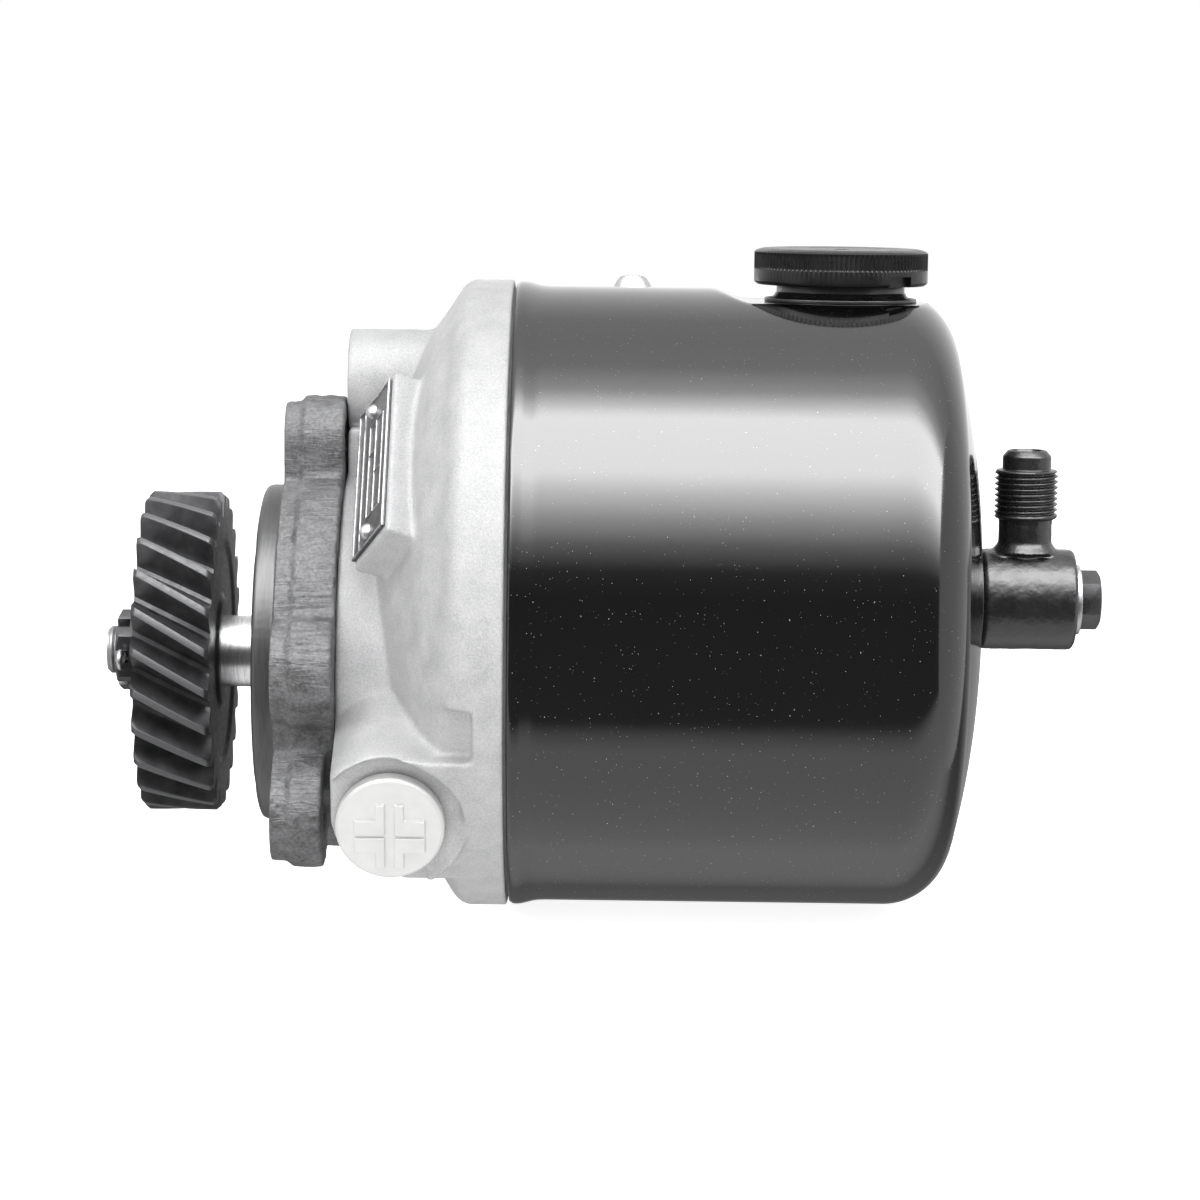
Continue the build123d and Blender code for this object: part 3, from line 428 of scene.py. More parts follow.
def black_enamel():
    f = Finish("gloss black enamel", (0.005, 0.005, 0.005), 0.09, 0.0, Specular_IOR_Level=0.6)
    specks = f.span(f.noise(0.32 * MM, 0), 0.835, 0.86)
    f.tint(specks, (0.005, 0.005, 0.005), (0.45, 0.45, 0.45))
    f.link(f.span(f.noise(12 * MM, 3, stretch=(0.6, 1, 1)), 0.3, 0.75, 0.07, 0.13), "Roughness")
    f.bump((f.noise(2.2 * MM, 2), 0.02 * MM, 0.25), (f.noise(14 * MM, 1), 0.10 * MM, 0.2))
    return f.material


def fitting_enamel():
    f = Finish("black enamel on a casting", (0.014, 0.014, 0.014), 0.27, 0.0)
    f.link(f.span(f.noise(3 * MM, 3), 0.3, 0.7, 0.22, 0.34), "Roughness")
    f.bump((f.noise(0.9 * MM, 3), 0.08 * MM, 0.7), (f.noise(4.5 * MM, 2), 0.25 * MM, 0.3))
    return f.material


def cap_plastic():
    f = Finish("satin black plastic", (0.009, 0.009, 0.009), 0.3, 0.0, Specular_IOR_Level=0.25)
    f.link(f.span(f.noise(3 * MM, 3), 0.3, 0.7, 0.25, 0.36), "Roughness")
    f.bump((f.noise(0.3 * MM, 2), 0.02 * MM, 0.35))
    return f.material


def plug_plastic():
    f = Finish("white polyethylene", (0.80, 0.80, 0.79), 0.36, 0.0, Subsurface_Weight=0.12,
               Subsurface_Scale=2 * MM)
    f.set("Subsurface Radius", (1.0, 1.0, 0.9))
    f.tint(f.span(f.noise(5 * MM, 2), 0.3, 0.7), (0.63, 0.63, 0.62), (0.68, 0.68, 0.675))
    f.bump((f.noise(2 * MM, 2), 0.04 * MM, 0.3))
    return f.material


def rubber():
    f = Finish("nitrile rubber", (0.02, 0.02, 0.02), 0.6)
    f.link(f.span(f.noise(2 * MM, 2), 0.3, 0.7, 0.5, 0.72), "Roughness")
    f.bump((f.noise(0.3 * MM, 2), 0.02 * MM, 0.4))
    return f.material


def filter_paper():
    f = Finish("filter paper", (0.70, 0.60, 0.40), 0.85)
    fibres = f.noise(0.5 * MM, 4, stretch=(0.2, 1, 1))
    f.tint(f.span(fibres, 0.3, 0.7), (0.58, 0.48, 0.30), (0.78, 0.69, 0.48))
    f.bump((fibres, 0.06 * MM, 0.6))
    return f.material


def plate_field():
    f = Finish("nameplate field", (0.05, 0.05, 0.052), 0.4, 0.3)
    f.tint(f.span(f.noise(1.5 * MM, 3), 0.3, 0.7), (0.035, 0.035, 0.036), (0.085, 0.085, 0.088))
    f.bump((f.noise(0.4 * MM, 2), 0.03 * MM, 0.5))
    return f.material


def plate_border():
    f = Finish("bright nameplate relief", (0.62, 0.62, 0.63), 0.34, 0.8)
    f.tint(f.span(f.noise(0.7 * MM, 3), 0.35, 0.65), (0.20, 0.20, 0.205), (0.42, 0.42, 0.425))
    f.bump((f.noise(0.35 * MM, 2), 0.02 * MM, 0.5))
    return f.material


def floor_paint():
    f = Finish("pale floor", (0.92, 0.92, 0.92), 0.9, Emission_Color=(1, 1, 1, 1),
               Emission_Strength=0.85)
    f.tint(f.span(f.noise(0.12, 2), 0.3, 0.7), (0.91, 0.91, 0.91), (0.93, 0.93, 0.93))
    return f.material


LOOKS = {
    "cast_aluminium": cast_aluminium(),
    "cast_iron": cast_iron(),
    "gear_steel": gear_steel(),
    "ground_steel": steel("ground steel", (0.56, 0.56, 0.57), 0.26, AROUND_X),
    "dark_steel": steel("oiled dark steel", (0.075, 0.075, 0.078), 0.36, depth=0.03 * MM),
    "zinc_steel": steel("zinc plated steel", (0.62, 0.62, 0.63), 0.26),
    "spring_steel": steel("spring steel", (0.30, 0.30, 0.31), 0.35),
    "bearing_steel": steel("bearing steel", (0.70, 0.70, 0.71), 0.14, AROUND_X),
    "cage_brass": steel("cage brass", (0.72, 0.56, 0.27), 0.3, AROUND_X),
    "bush_bronze": steel("bush bronze", (0.56, 0.40, 0.22), 0.35, AROUND_X),
    "black_paint": black_enamel(),
    "fitting_paint": fitting_enamel(),
    "cap_plastic": cap_plastic(),
    "seal_rubber": rubber(),
    "plug_plastic": plug_plastic(),
    "plate_foil": plate_field(),
    "plate_relief": plate_border(),
    "dull_steel": steel("dull plated steel", (0.40, 0.40, 0.41), 0.38),
    "shaft_steel": shaft_steel(),
    "bolt_steel": steel("blackened bolt", (0.075, 0.075, 0.077), 0.34, depth=0.03 * MM),
    "neck_enamel": steel("dark dipped neck", (0.012, 0.012, 0.012), 0.3, metallic=0.0),
    "filter_paper": filter_paper(),
}
# CAD nodes shown as they are, with a look other than their slot's
OWN_LOOKS = {"drive_shaft": "shaft_steel", "cotter_pin": "dull_steel",
             "nameplate_screws": "dull_steel"}
for entry in frame["record"]["subparts"]:
    looks = NODES[entry["node"]].data.materials
    looks.clear()
    looks.append(LOOKS[OWN_LOOKS.get(entry["node"], entry["material_slot"])])


# ---------------------------------------------------------------- reservoir can

CAN_R, LIP_R, WALL = 77.4 * MM, 78.5 * MM, 1.4 * MM
LIP_X, LIP_END = CAN_LOW.x + 0.4 * MM, CAN_LOW.x + 5.2 * MM
CORNER_X, CORNER_R, CAN_END = 150.6 * MM, 16.0 * MM, CAN_HIGH.x
SEAT_UP, SEAT_X0, SEAT_X1 = 74.5 * MM, 103.7 * MM, 115.7 * MM
TUBE_HOLE_R, NECK_HOLE_R = 8.05 * MM, 14.8 * MM
CAN_SIDES = 288


def circle_through(a, b, c, steps):
    """Points of the arc from a to c by way of b."""
    (ax, ay), (bx, by), (cx, cy) = a, b, c
    d = 2 * (ax * (by - cy) + bx * (cy - ay) + cx * (ay - by))
    sa, sb, sc = ax * ax + ay * ay, bx * bx + by * by, cx * cx + cy * cy
    x = (sa * (by - cy) + sb * (cy - ay) + sc * (ay - by)) / d
    y = (sa * (cx - bx) + sb * (ax - cx) + sc * (bx - ax)) / d
    start, end = atan2(ay - y, ax - x), atan2(cy - y, cx - x)
    radius = hypot(ax - x, ay - y)
    return [(x + radius * cos(start + (end - start) * k / steps),
             y + radius * sin(start + (end - start) * k / steps)) for k in range(steps + 1)]


def can_outline(inset):
    """Outer or inner side of the can, from its lip to the hole in its end."""
    r, corner = CAN_R - inset, CORNER_R - inset
    foot_turn = radians(80)
    bend = [(CORNER_X + corner * sin(foot_turn * k / 16),
             CAN_R - CORNER_R + corner * cos(foot_turn * k / 16)) for k in range(17)]
    dome = circle_through(bend[-1], (CAN_END - inset - 1.9 * MM, 42 * MM),
                          (CAN_END - inset, 15 * MM), 24)
    lip = soften([(LIP_X, LIP_R - inset - 0.6 * MM), (LIP_X + 0.9 * MM, LIP_R - inset),
                  (LIP_X + 2.6 * MM, LIP_R - inset), (LIP_END + 1.6 * MM, r + 0.12 * MM),
                  (LIP_END + 4.0 * MM, r)], 2.6 * MM, steps=10)
    wall = divided((LIP_END + 4.5 * MM, r), (CORNER_X - 1 * MM, r), 70)
    end = [(CAN_END - inset, 12 * MM), (CAN_END - inset, TUBE_HOLE_R)]
    return lip + wall + bend + dome[1:] + end


def press_seat(points, inset):
    """Flatten the can's top where the filler neck stands, with a drawn transition."""
    x, z = points[:, 0], points[:, 2]
    share = np.clip((x - SEAT_X0) / (SEAT_X1 - SEAT_X0), 0, 1)
    share = share * share * (3 - 2 * share)
    level = RES_UP + CAN_R + 0.4 * MM - share * (CAN_R + 0.4 * MM - SEAT_UP) - inset
    soft = 0.35 * MM
    blend = np.clip(0.5 + 0.5 * (z - level) / soft, 0, 1)
    points[:, 2] = np.where(share > 0, z * (1 - blend) + level * blend
                            - soft * blend * (1 - blend), z)
    return points


def reservoir_can():
    outer, inner = can_outline(0), can_outline(WALL)
    obj = lathe("can_shell", outer + inner[::-1], segments=CAN_SIDES, ring=True)
    points = read_points(obj)
    half = len(outer) * CAN_SIDES
    points[:half] = press_seat(points[:half], 0)
    points[half:] = press_seat(points[half:], WALL)
    obj.data.vertices.foreach_set("co", points.ravel())
    hole = lathe("hole", [(RES_UP + 60 * MM, NECK_HOLE_R), (RES_UP + 90 * MM, NECK_HOLE_R)],
                 FILLER, UP, 96)
    carve(obj, hole)
    return shade(obj, 40)


dress(reservoir_can(), "pump_case", "reservoir_can", LOOKS["black_paint"])


# ---------------------------------------------------------------- filler cap

KNURLS, KNURL_DEPTH = 110, 0.42 * MM


def filler_cap():
    top, skirt, r = CAP_HIGH.z, CAP_LOW.z, (CAP_HIGH.x - CAP_LOW.x) / 2
    wall, roof = 1.8 * MM, 2.2 * MM
    band_top, band_foot = top - 1.7 * MM, top - 6.0 * MM

    def knurl(along, radius, angle):
        fade = min(1, max(0, (band_top - along) / (0.5 * MM)),
                   max(0, (along - band_foot) / (0.25 * MM)))
        outside = radius > r - 1.2 * MM
        return -KNURL_DEPTH * fade * (0.5 + 0.5 * cos(KNURLS * angle)) ** 0.7 if outside else 0

    side = soften([(skirt, r - 0.9 * MM), (skirt + 0.6 * MM, r), (band_foot, r)], 0.4 * MM)
    edge = soften([(band_top, r), (top - 1.3 * MM, r - 0.5 * MM), (top - 0.8 * MM, r - 2.0 * MM),
                   (top - 0.7 * MM, r - 5.5 * MM), (top - 1.0 * MM, r - 7.5 * MM),
                   (top - 1.0 * MM, 2 * MM)], 1.4 * MM)
    outline = [(skirt, r - wall)] + side + divided((band_foot, r), (band_top, r), 14)[1:] + edge
    outline += [(top - roof, 2 * MM), (top - roof, r - wall)]
    cap = lathe("cap_shell", outline, FILLER, UP, KNURLS * 8, knurl, ring=True)
    bpy.ops.mesh.primitive_cube_add(size=1)
    notch = bpy.context.object
    notch.scale = (6 * MM, 7.0 * MM, 5.2 * MM)
    turn = radians(-50)
    notch.location = FILLER + Vector((cos(turn), sin(turn), 0)) * (r + 1.2 * MM) + UP * skirt
    notch.rotation_euler = (0, 0, turn)
    return shade(carve(cap, notch), 35)


dress(filler_cap(), "cap", "filler_cap", LOOKS["cap_plastic"])


# ---------------------------------------------------------------- castings

MACHINED_X = 54.5 * MM                              # close to the open end of the housing's rim
GUSSET_SEAM = (30.5 * MM, -67 * MM, -13 * MM)       # where the ledge runs into the gusset
SEAM_REACH = (7 * MM, 12 * MM, 9 * MM)


def housing_weight(points):
    """The rim's open edge and the spigot are machined; the rest of the casting is blended."""
    return np.clip((MACHINED_X - points[:, 0]) / (2 * MM), 0.08, 1)


def seam_weight(points):
    """The gusset flows into the ledge without a crease."""
    away = np.linalg.norm((points - GUSSET_SEAM) / SEAM_REACH, axis=1)
    return np.exp(-away ** 4)


housing = casting("housing_casting", "pump_housing", 0.65 * MM, 4, housing_weight)
relax(housing, 70, seam_weight)
dress(housing, "pump_case", "pump_housing", LOOKS["cast_aluminium"])


PILOT_CLEAR = 44 * MM                               # radius just outside the pilot
TORN_ANGLE, TORN_SPREAD = 163, 9                    # degrees about the shaft, above the near lobe


def flange_weight(points):
    """The pilot and the mounting face are machined; the rest is blended."""
    return np.clip((points[:, 0] - 0.5 * MM) / (1.5 * MM), 0.1, 1)


flange = casting("flange_casting", "mounting_flange", 0.6 * MM, 7, flange_weight)


def skin_weight(points):
    """Rough where the sand touched: behind the mounting face and away from the bores."""
    around = np.hypot(points[:, 1], points[:, 2])
    return np.clip((points[:, 0] - 0.6 * MM) / (1.2 * MM), 0, 1) * (around > PILOT_CLEAR)


def tear(obj, height):
    """Shallow torn ridges along X on the outside, deepest above the near lobe."""
    for vertex in obj.data.vertices:
        x, y, z = vertex.co
        around = hypot(y, z)
        if around < PILOT_CLEAR or x < 1 * MM:
            continue
        turn = atan2(z, y) % (2 * pi)
        place = Vector((x / (8 * MM), turn * 48 / 1.15, 3.0))
        ridge = noise.noise(place) + 0.5 * noise.noise(place * 2.3)
        depth = height * (0.25 + exp(-((degrees(turn) - TORN_ANGLE) / TORN_SPREAD) ** 2))
        vertex.co += Vector((0, y, z)) / around * ridge * depth * min(1, (x - 1 * MM) / (1 * MM))


roughen(flange, 3.2 * MM, 0.75 * MM, skin_weight)
tear(flange, 0.5 * MM)
dress(flange, "pump_case", "mounting_flange", LOOKS["cast_iron"])


# ---------------------------------------------------------------- drive gear

TEETH, TIP_R, ROOT_R, HELIX, PHASE = 25, 40.3 * MM, 34.4 * MM, 30.0, 172.4
BORE_R = 8.0 * MM


def drive_gear():
    """Helical gear as one closed grid: bore, dished faces and toothed rim."""
    low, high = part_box("drive_gear")
    x0, x1 = low.x, high.x
    half, edge = pi / TEETH, 1.1 * MM
    shape = [(ROOT_R, 0.86), (ROOT_R + 0.5 * MM, 0.74), (ROOT_R + 1.2 * MM, 0.645),
             (ROOT_R + 2.2 * MM, 0.545), (TIP_R - 2.6 * MM, 0.43), (TIP_R - 1.5 * MM, 0.32),
             (TIP_R - 0.3 * MM, 0.215), (TIP_R - 0.06 * MM, 0.195), (TIP_R, 0.17)]
    tooth = [(r, -share * half) for r, share in shape]
    tooth += [(r, -a) for r, a in reversed(tooth)]
    outline = [(r, radians(PHASE) + 2 * half * k + a) for k in range(TEETH) for r, a in tooth]
    twist = tan(radians(HELIX)) / TIP_R

    def rim_row(x):
        limit = TIP_R - max(0, edge - (x - x0), edge - (x1 - x))
        turn = twist * (x - x0)
        return [(x, min(r, limit), a + turn) for r, a in outline]

    def circle_row(x, radius, turn):
        return [(x, radius, a + turn) for _, a in outline]

    end_turn = twist * (x1 - x0)
    steps = 14
    stations = [x0, x0 + edge * 0.5, x0 + edge]
    stations += [x0 + edge + (x1 - x0 - 2 * edge) * k / steps for k in range(1, steps)]
    stations += [x1 - edge, x1 - edge * 0.5, x1]
    rows = [circle_row(x, r, 0) for x, r in soften(
        [(x0, BORE_R), (x0, 17 * MM), (x0 + 1.6 * MM, 18 * MM), (x0 + 1.6 * MM, 27 * MM),
         (x0, 28.5 * MM), (x0, ROOT_R - 1 * MM)], 0.6 * MM, steps=3)]
    rows += [rim_row(x) for x in stations]
    rows += [circle_row(x, r, end_turn) for x, r in soften(
        [(x1, ROOT_R - 1 * MM), (x1, 28.5 * MM), (x1 - 0.8 * MM, 26.5 * MM),
         (x1 - 0.8 * MM, 15 * MM), (x1, 13 * MM), (x1, BORE_R)], 0.6 * MM, steps=3)]
    vertices = [(x, r * cos(a), r * sin(a)) for row in rows for x, r, a in row]
    n, count = len(outline), len(rows)
    faces = [(row * n + k, row * n + (k + 1) % n, (row + 1) % count * n + (k + 1) % n,
              (row + 1) % count * n + k) for row in range(count) for k in range(n)]
    mesh = bpy.data.meshes.new("gear")
    mesh.from_pydata(vertices, [], faces)
    return shade(link("gear_toothed", mesh), 38)


dress(drive_gear(), "drive", "drive_gear", LOOKS["gear_steel"])


# ---------------------------------------------------------------- outlet

FITTING_LOW, FITTING_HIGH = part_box("outlet_fitting")
STUB = Vector(((FITTING_LOW.x + FITTING_HIGH.x) / 2 - 0.65 * MM, 0, RES_UP))
THREAD_LOW, THREAD_HIGH, THREAD_R, PITCH = 20.5 * MM, 32.9 * MM, 7.94 * MM, 25.4 / 18 * MM
BANJO_R = 11.9 * MM                                 # just inside the fitting's round side


def threaded(along, angle, low, high, pitch, depth):
    """Change of radius of a cut thread, faded out at both ends."""
    phase = (along / pitch - angle / (2 * pi)) % 1
    flank = abs(phase - 0.5) * 2
    cut = min(1, max(0, (flank - 0.12) / 0.76))
    fade = min(1, max(0, (along - low) / pitch), max(0, (high - along) / (0.6 * pitch)))
    return -depth * cut * fade


def outlet_stub():
    """Threaded stub with its flare nose."""
    outline = [(THREAD_LOW - 1.2 * MM, 6.7 * MM), (THREAD_LOW - 0.2 * MM, 6.75 * MM)]
    outline += divided((THREAD_LOW + 0.2 * MM, THREAD_R - 0.4 * MM),
                       (THREAD_LOW + 0.6 * MM, THREAD_R), 2)
    outline += divided((THREAD_LOW + 0.7 * MM, THREAD_R), (THREAD_HIGH - 0.5 * MM, THREAD_R), 90)
    outline += soften([(THREAD_HIGH - 0.4 * MM, THREAD_R), (THREAD_HIGH, THREAD_R - 0.6 * MM),
                       (THREAD_HIGH, 6.1 * MM), (THREAD_HIGH + 3.4 * MM, 6.1 * MM),
                       (THREAD_HIGH + 4.9 * MM, 4.8 * MM), (THREAD_HIGH + 4.9 * MM, 4.2 * MM),
                       (THREAD_HIGH + 2.9 * MM, 3.4 * MM), (THREAD_LOW - 1.2 * MM, 3.4 * MM)],
                      0.3 * MM)

    def cut(along, radius, angle):
        if radius <= THREAD_R - 0.3 * MM:
            return 0
        return threaded(along, angle, THREAD_LOW + 0.4 * MM, THREAD_HIGH, PITCH, 0.85 * MM)

    return lathe("stub_threaded", outline, STUB, UP, 96, cut, ring=True, sharp=60)


def outlet_body():
    """Banjo body with the stub's root, blended like a painted casting."""
    obj = copy_of("outlet_body", "outlet_fitting")
    big = 60 * MM
    low = RES_UP + THREAD_LOW - 0.4 * MM
    bpy.ops.mesh.primitive_cube_add(size=big, location=(STUB.x, 0, low + big / 2))
    carve(obj, bpy.context.object)
    remesh = obj.modifiers.new("remesh", "REMESH")
    remesh.mode, remesh.voxel_size = "VOXEL", 0.35 * MM
    apply_modifiers(obj)

    def weight(points):
        around = np.hypot(points[:, 1], points[:, 2] - RES_UP)
        return np.where(around > BANJO_R, 1, 0.25)

    relax(obj, 7, weight)
    roughen(obj, 2.5 * MM, 0.16 * MM)
    return shade(obj, 60)


dress(outlet_body(), "pump_case", "outlet_fitting", LOOKS["fitting_paint"])
dress(outlet_stub(), "pump_case", None, LOOKS["fitting_paint"])


# ---------------------------------------------------------------- small metal parts

SLOTS = {entry["node"]: entry["material_slot"] for entry in frame["record"]["subparts"]}
# Looks other than the slot's own
FINISHES = {"gear_nut": "dark_steel", "outlet_bolt": "bolt_steel", "bolt_washer": "dull_steel",
            "return_nipple": "dull_steel", "filler_neck": "neck_enamel",
            "outlet_spacer": "fitting_paint"}
# Node, body and width of its rounded edges in millimetres
EDGED = (("gear_nut", "drive", 0.35), ("gear_washer", "drive", 0.25),
         ("outlet_bolt", "pump_case", 0.35), ("bolt_washer", "pump_case", 0.25),
         ("outlet_spacer", "pump_case", 0.3), ("filler_neck", "pump_case", 0.3),
         ("cap_locking_plate", "cap", 0.2), ("port_plug", "plug", 0.25),
         ("return_nipple", "pump_case", 0.2), ("nameplate", "pump_case", 0.12),
         ("flange_bolts", "pump_case", 0.3))
for node, body, edge in EDGED:
    dress(crisp(node + "_edged", node, edge * MM), body, node,
          LOOKS[FINISHES.get(node, SLOTS[node])])


# ---------------------------------------------------------------- springs

for node, joint, travel in (("valve_spring", "spool_slide", 3.0 * MM),
                            ("filter_spring", "filter_bypass", 4.0 * MM)):
    wound = dress(shade(copy_of(node + "_wound", node), 60), "pump_case", node,
                  LOOKS["spring_steel"])
    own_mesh(wound)


# ---------------------------------------------------------------- nameplate

PLATE_LONG, PLATE_SHORT, PLATE_T = 42.5 * MM, 17.8 * MM, 0.8 * MM
PAD_X, PAD_R = 23.9 * MM, 53 * MM                   # the plate's centre on the housing's cone
PAD_ANGLE, CONE_SLOPE = 40, 64                      # degrees
# Raised lines on the plate in millimetres: X from and to, Y from and to
LINES = ((-13.6, 13.6, 1.3, 1.55), (-13.6, 13.6, -2.3, -2.05), (-13.6, 13.6, -6.2, -5.95),
         (-13.6, -13.3, -6.2, 1.5), (13.3, 13.6, -6.2, 1.5), (-2.0, -1.7, -6.2, -2.1),
         (4.4, 4.7, -2.2, 1.5))


def plate_place():
    """Matrix from the plate's own plane (long side, up the cone, out) to the frame."""
    turn, slope = radians(PAD_ANGLE), radians(CONE_SLOPE)
    across = Vector((0, -cos(turn), sin(turn)))
    normal = ALONG_X * -sin(slope) + across * cos(slope)
    tangent = Vector((0, sin(turn), cos(turn)))
    centre = Vector((PAD_X, 0, RES_UP)) + across * PAD_R
    place = Matrix((tangent, normal.cross(tangent), normal)).transposed().to_4x4()
    return Matrix.Translation(centre) @ place


def plate_relief():
    """Raised border, dividing lines and empty boxes, with no lettering."""
    half_long, half_short, rim = PLATE_LONG / 2, PLATE_SHORT / 2, 0.6 * MM
    bars = [(-half_long, half_long, half_short - rim, half_short),
            (-half_long, half_long, -half_short, -half_short + rim),
            (-half_long, -half_long + rim, -half_short, half_short),
            (half_long - rim, half_long, -half_short, half_short),
            (-half_long, half_long, 4.9 * MM, 5.2 * MM)]
    bars += [tuple(value * MM for value in line) for line in LINES]
    work = bmesh.new()
    for x0, x1, y0, y1 in bars:
        foot, top, lean = PLATE_T - 0.1 * MM, PLATE_T + 0.22 * MM, 0.07 * MM
        corners = [(x0, y0, foot), (x1, y0, foot), (x1, y1, foot), (x0, y1, foot),
                   (x0 + lean, y0 + lean, top), (x1 - lean, y0 + lean, top),
                   (x1 - lean, y1 - lean, top), (x0 + lean, y1 - lean, top)]
        made = [work.verts.new(plate_place() @ Vector(corner)) for corner in corners]
        for face in ((3, 2, 1, 0), (4, 5, 6, 7), (0, 1, 5, 4), (1, 2, 6, 5), (2, 3, 7, 6),
                     (3, 0, 4, 7)):
            work.faces.new([made[k] for k in face])
    mesh = bpy.data.meshes.new("plate_relief")
    work.to_mesh(mesh)
    work.free()
    return shade(link("plate_relief", mesh), 30)


dress(plate_relief(), "pump_case", None, LOOKS["plate_relief"])


# ---------------------------------------------------------------- studio

LENS, SENSOR = 108.66, 36.0                         # millimetres
ELEVATION, ROLL, DISTANCE = radians(7.1), 0.0131, 0.917
LOOK_AT = Vector((0.0787, 0, 0.0142))
FLOOR_UP, FLOOR_REACH = CAD_BOX[0].z, 4.0
LIT_X = 0.09
LIT_POINT = Vector((LIT_X, 0, RES_UP))              # the lights face this


def camera():
    data = bpy.data.cameras.new("camera")
    data.sensor_width, data.lens = SENSOR, LENS
    data.clip_start, data.clip_end = 0.05, 50
    forward = Vector((0, cos(ELEVATION), -sin(ELEVATION)))
    level_up = Vector((0, sin(ELEVATION), cos(ELEVATION)))
    right = (ALONG_X + level_up * ROLL).normalized()
    up = right.cross(forward)
    obj = bpy.data.objects.new("camera", data)
    turn = Matrix((right, up, -forward)).transposed()
    obj.matrix_world = Matrix.Translation(LOOK_AT - forward * DISTANCE) @ turn.to_4x4()
    bpy.context.scene.collection.objects.link(obj)
    bpy.context.scene.camera = obj


def soft_light(name, elevation, azimuth, distance, width, height, radiance):
    """Area light aimed at the reservoir, with no reflection in glossy surfaces."""
    data = bpy.data.lights.new(name, "AREA")
    data.shape, data.size, data.size_y = "RECTANGLE", width, height
    data.energy = radiance * pi * width * height
    obj = bpy.data.objects.new(name, data)
    elevation, azimuth = radians(elevation), radians(azimuth)
    direction = Vector((sin(azimuth) * cos(elevation), -cos(azimuth) * cos(elevation),
                        sin(elevation)))
    obj.location = LIT_POINT + direction * distance
    obj.rotation_euler = direction.to_track_quat("Z", "Y").to_euler()
    obj.visible_camera = obj.visible_glossy = False
    bpy.context.scene.collection.objects.link(obj)


WORLD_MATT, WORLD_SEEN, WORLD_GLOSSY = 0.68, 1.0, 1.3   # the world's strength by kind of ray
# Brightness of the reflected room by degrees above the near side: white table, dark gap, a soft
# overhead box and a dimmer ceiling
GLOW = ((-178, 0.5), (-150, 0.15), (-128, 0.3), (-116, 0.8), (-98, 1.35), (-50, 1.4),
        (-44, 0.9), (-39, 0.17), (6, 0.13), (15, 0.25), (24, 1.8), (33, 5.0), (42.5, 10.0),
        (50, 15.0), (72, 15.0), (77, 9.5), (83.5, 4.4), (95, 2.2), (109, 1.6), (124, 1.2),
        (178, 1.2))
GLOW_R, GLOW_REACH, GLOW_ROWS = 0.9, 1.3, 178


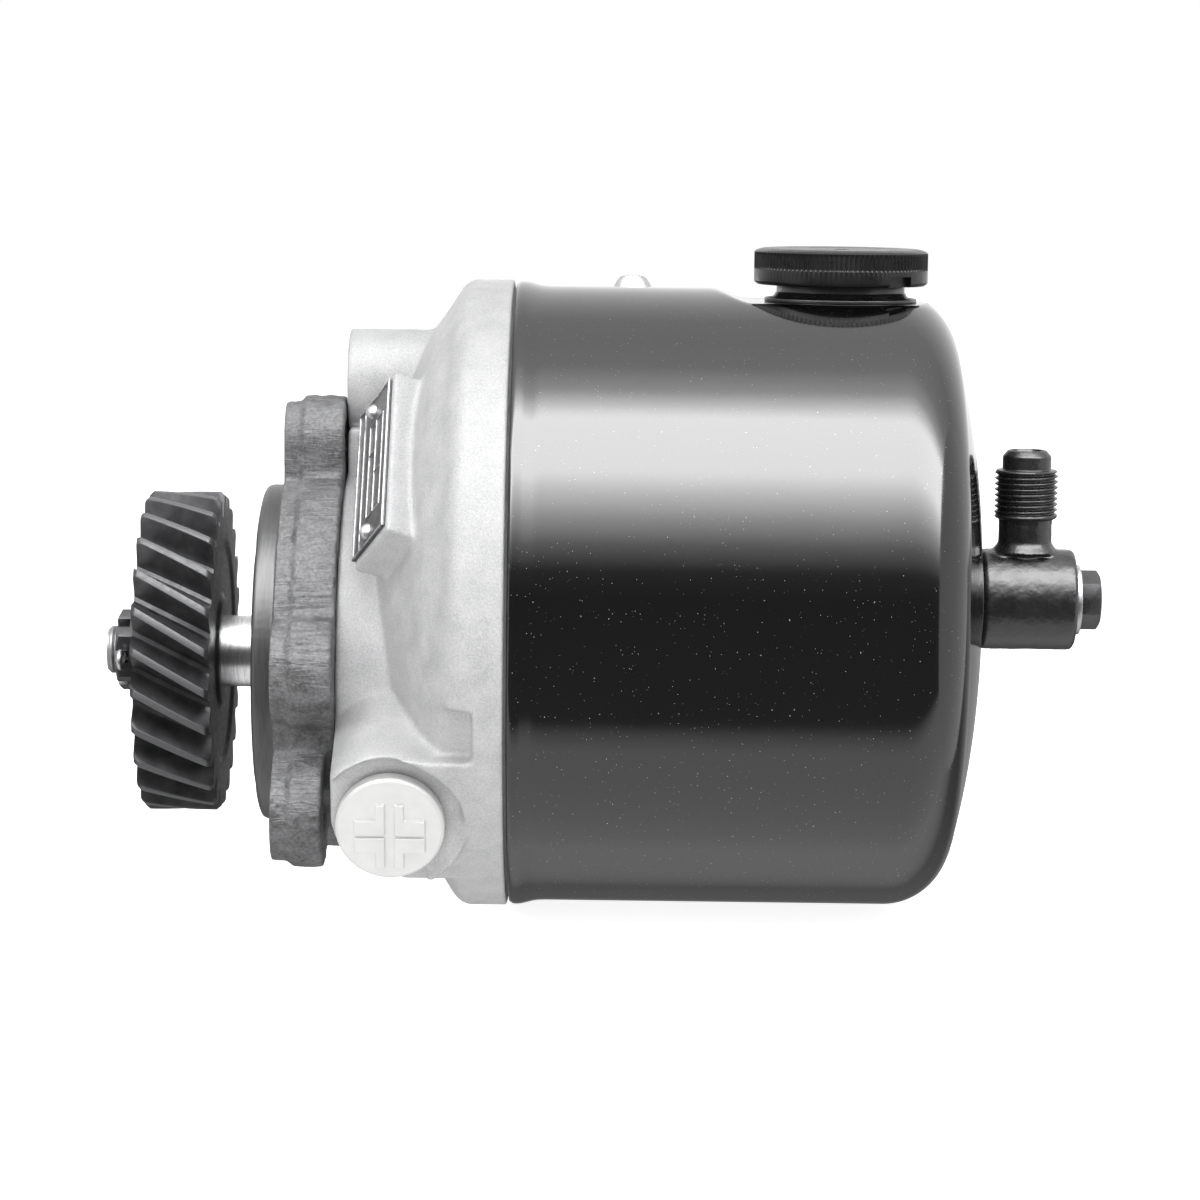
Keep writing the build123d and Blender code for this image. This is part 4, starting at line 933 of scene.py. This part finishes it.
def glow_sheet():
    """Curved sheet round the pump that only reflections see."""
    mesh = bpy.data.meshes.new("glow_sheet")
    columns = (-GLOW_REACH, -0.75 * GLOW_REACH, 0.75 * GLOW_REACH, GLOW_REACH)
    points, faces = [], []
    for row in range(GLOW_ROWS + 1):
        angle = radians(-178 + 2 * row)
        for x in columns:
            points.append((LIT_X + x, -GLOW_R * cos(angle), RES_UP + GLOW_R * sin(angle)))
    for row in range(GLOW_ROWS):
        for k in range(3):
            a = row * 4 + k
            faces.append((a, a + 1, a + 5, a + 4))
    mesh.from_pydata(points, [], faces)
    sheet = link("glow_sheet", mesh)
    material = bpy.data.materials.new("glow sheet")
    material.use_nodes = True
    tree = material.node_tree
    tree.nodes.clear()
    nodes, links = tree.nodes, tree.links
    coords = nodes.new("ShaderNodeTexCoord").outputs["Object"]
    split = nodes.new("ShaderNodeSeparateXYZ")
    links.new(coords, split.inputs[0])
    rise = nodes.new("ShaderNodeMath")
    rise.operation = "SUBTRACT"
    links.new(split.outputs[2], rise.inputs[0])
    rise.inputs[1].default_value = RES_UP
    back = nodes.new("ShaderNodeMath")
    back.operation = "MULTIPLY"
    links.new(split.outputs[1], back.inputs[0])
    back.inputs[1].default_value = -1.0
    angle = nodes.new("ShaderNodeMath")
    angle.operation = "ARCTAN2"
    links.new(rise.outputs[0], angle.inputs[0])
    links.new(back.outputs[0], angle.inputs[1])
    share = nodes.new("ShaderNodeMapRange")
    links.new(angle.outputs[0], share.inputs[0])
    share.inputs[1].default_value, share.inputs[2].default_value = -pi, pi
    ramp = nodes.new("ShaderNodeValToRGB").color_ramp
    peak = max(level for _, level in GLOW)
    while len(ramp.elements) < len(GLOW):
        ramp.elements.new(0.5)
    for element, (degrees_up, level) in zip(ramp.elements, GLOW):
        element.position = (degrees_up + 180) / 360
        element.color = (level / peak,) * 3 + (1,)
    links.new(share.outputs[0], nodes["Color Ramp"].inputs[0])
    glow = nodes.new("ShaderNodeEmission")
    glow.inputs[1].default_value = peak
    links.new(nodes["Color Ramp"].outputs[0], glow.inputs[0])
    links.new(glow.outputs[0], nodes.new("ShaderNodeOutputMaterial").inputs[0])
    sheet.data.materials.append(material)
    sheet.visible_camera = sheet.visible_diffuse = sheet.visible_shadow = False
    sheet.visible_transmission = False


def studio():
    """Floor that only the camera sees, the reflected room, soft lights and an even world."""
    side = FLOOR_REACH
    mesh = bpy.data.meshes.new("floor")
    mesh.from_pydata([(-side, -side, FLOOR_UP), (side, -side, FLOOR_UP), (side, side, FLOOR_UP),
                      (-side, side, FLOOR_UP)], [], [(0, 1, 2, 3)])
    floor = link("floor", mesh)
    floor.data.materials.append(floor_paint())
    floor.visible_glossy = floor.visible_diffuse = floor.visible_shadow = False
    glow_sheet()
    soft_light("key", 62, -12, 1.1, 1.2, 0.9, 0.62)
    soft_light("fill", 4, 5, 1.2, 1.6, 0.5, 1.25)
    soft_light("low_fill", -28, -16, 1.1, 1.0, 0.5, 3.0)    # from below the floor

    world = bpy.data.worlds.new("studio")
    world.use_nodes = True
    tree = world.node_tree
    nodes, links = tree.nodes, tree.links
    background = nodes["Background"]
    path = nodes.new("ShaderNodeLightPath")
    seen = nodes.new("ShaderNodeMix")
    seen.data_type = "FLOAT"
    seen.inputs[2].default_value, seen.inputs[3].default_value = WORLD_MATT, WORLD_SEEN
    links.new(path.outputs["Is Camera Ray"], seen.inputs[0])
    shine = nodes.new("ShaderNodeMix")
    shine.data_type = "FLOAT"
    shine.inputs[3].default_value = WORLD_GLOSSY
    links.new(path.outputs["Is Glossy Ray"], shine.inputs[0])
    links.new(seen.outputs[0], shine.inputs[2])
    links.new(shine.outputs[0], background.inputs["Strength"])
    background.inputs["Color"].default_value = (1, 1, 1, 1)
    bpy.context.scene.world = world
    bpy.context.scene.view_settings.view_transform = "Standard"


camera()
studio()
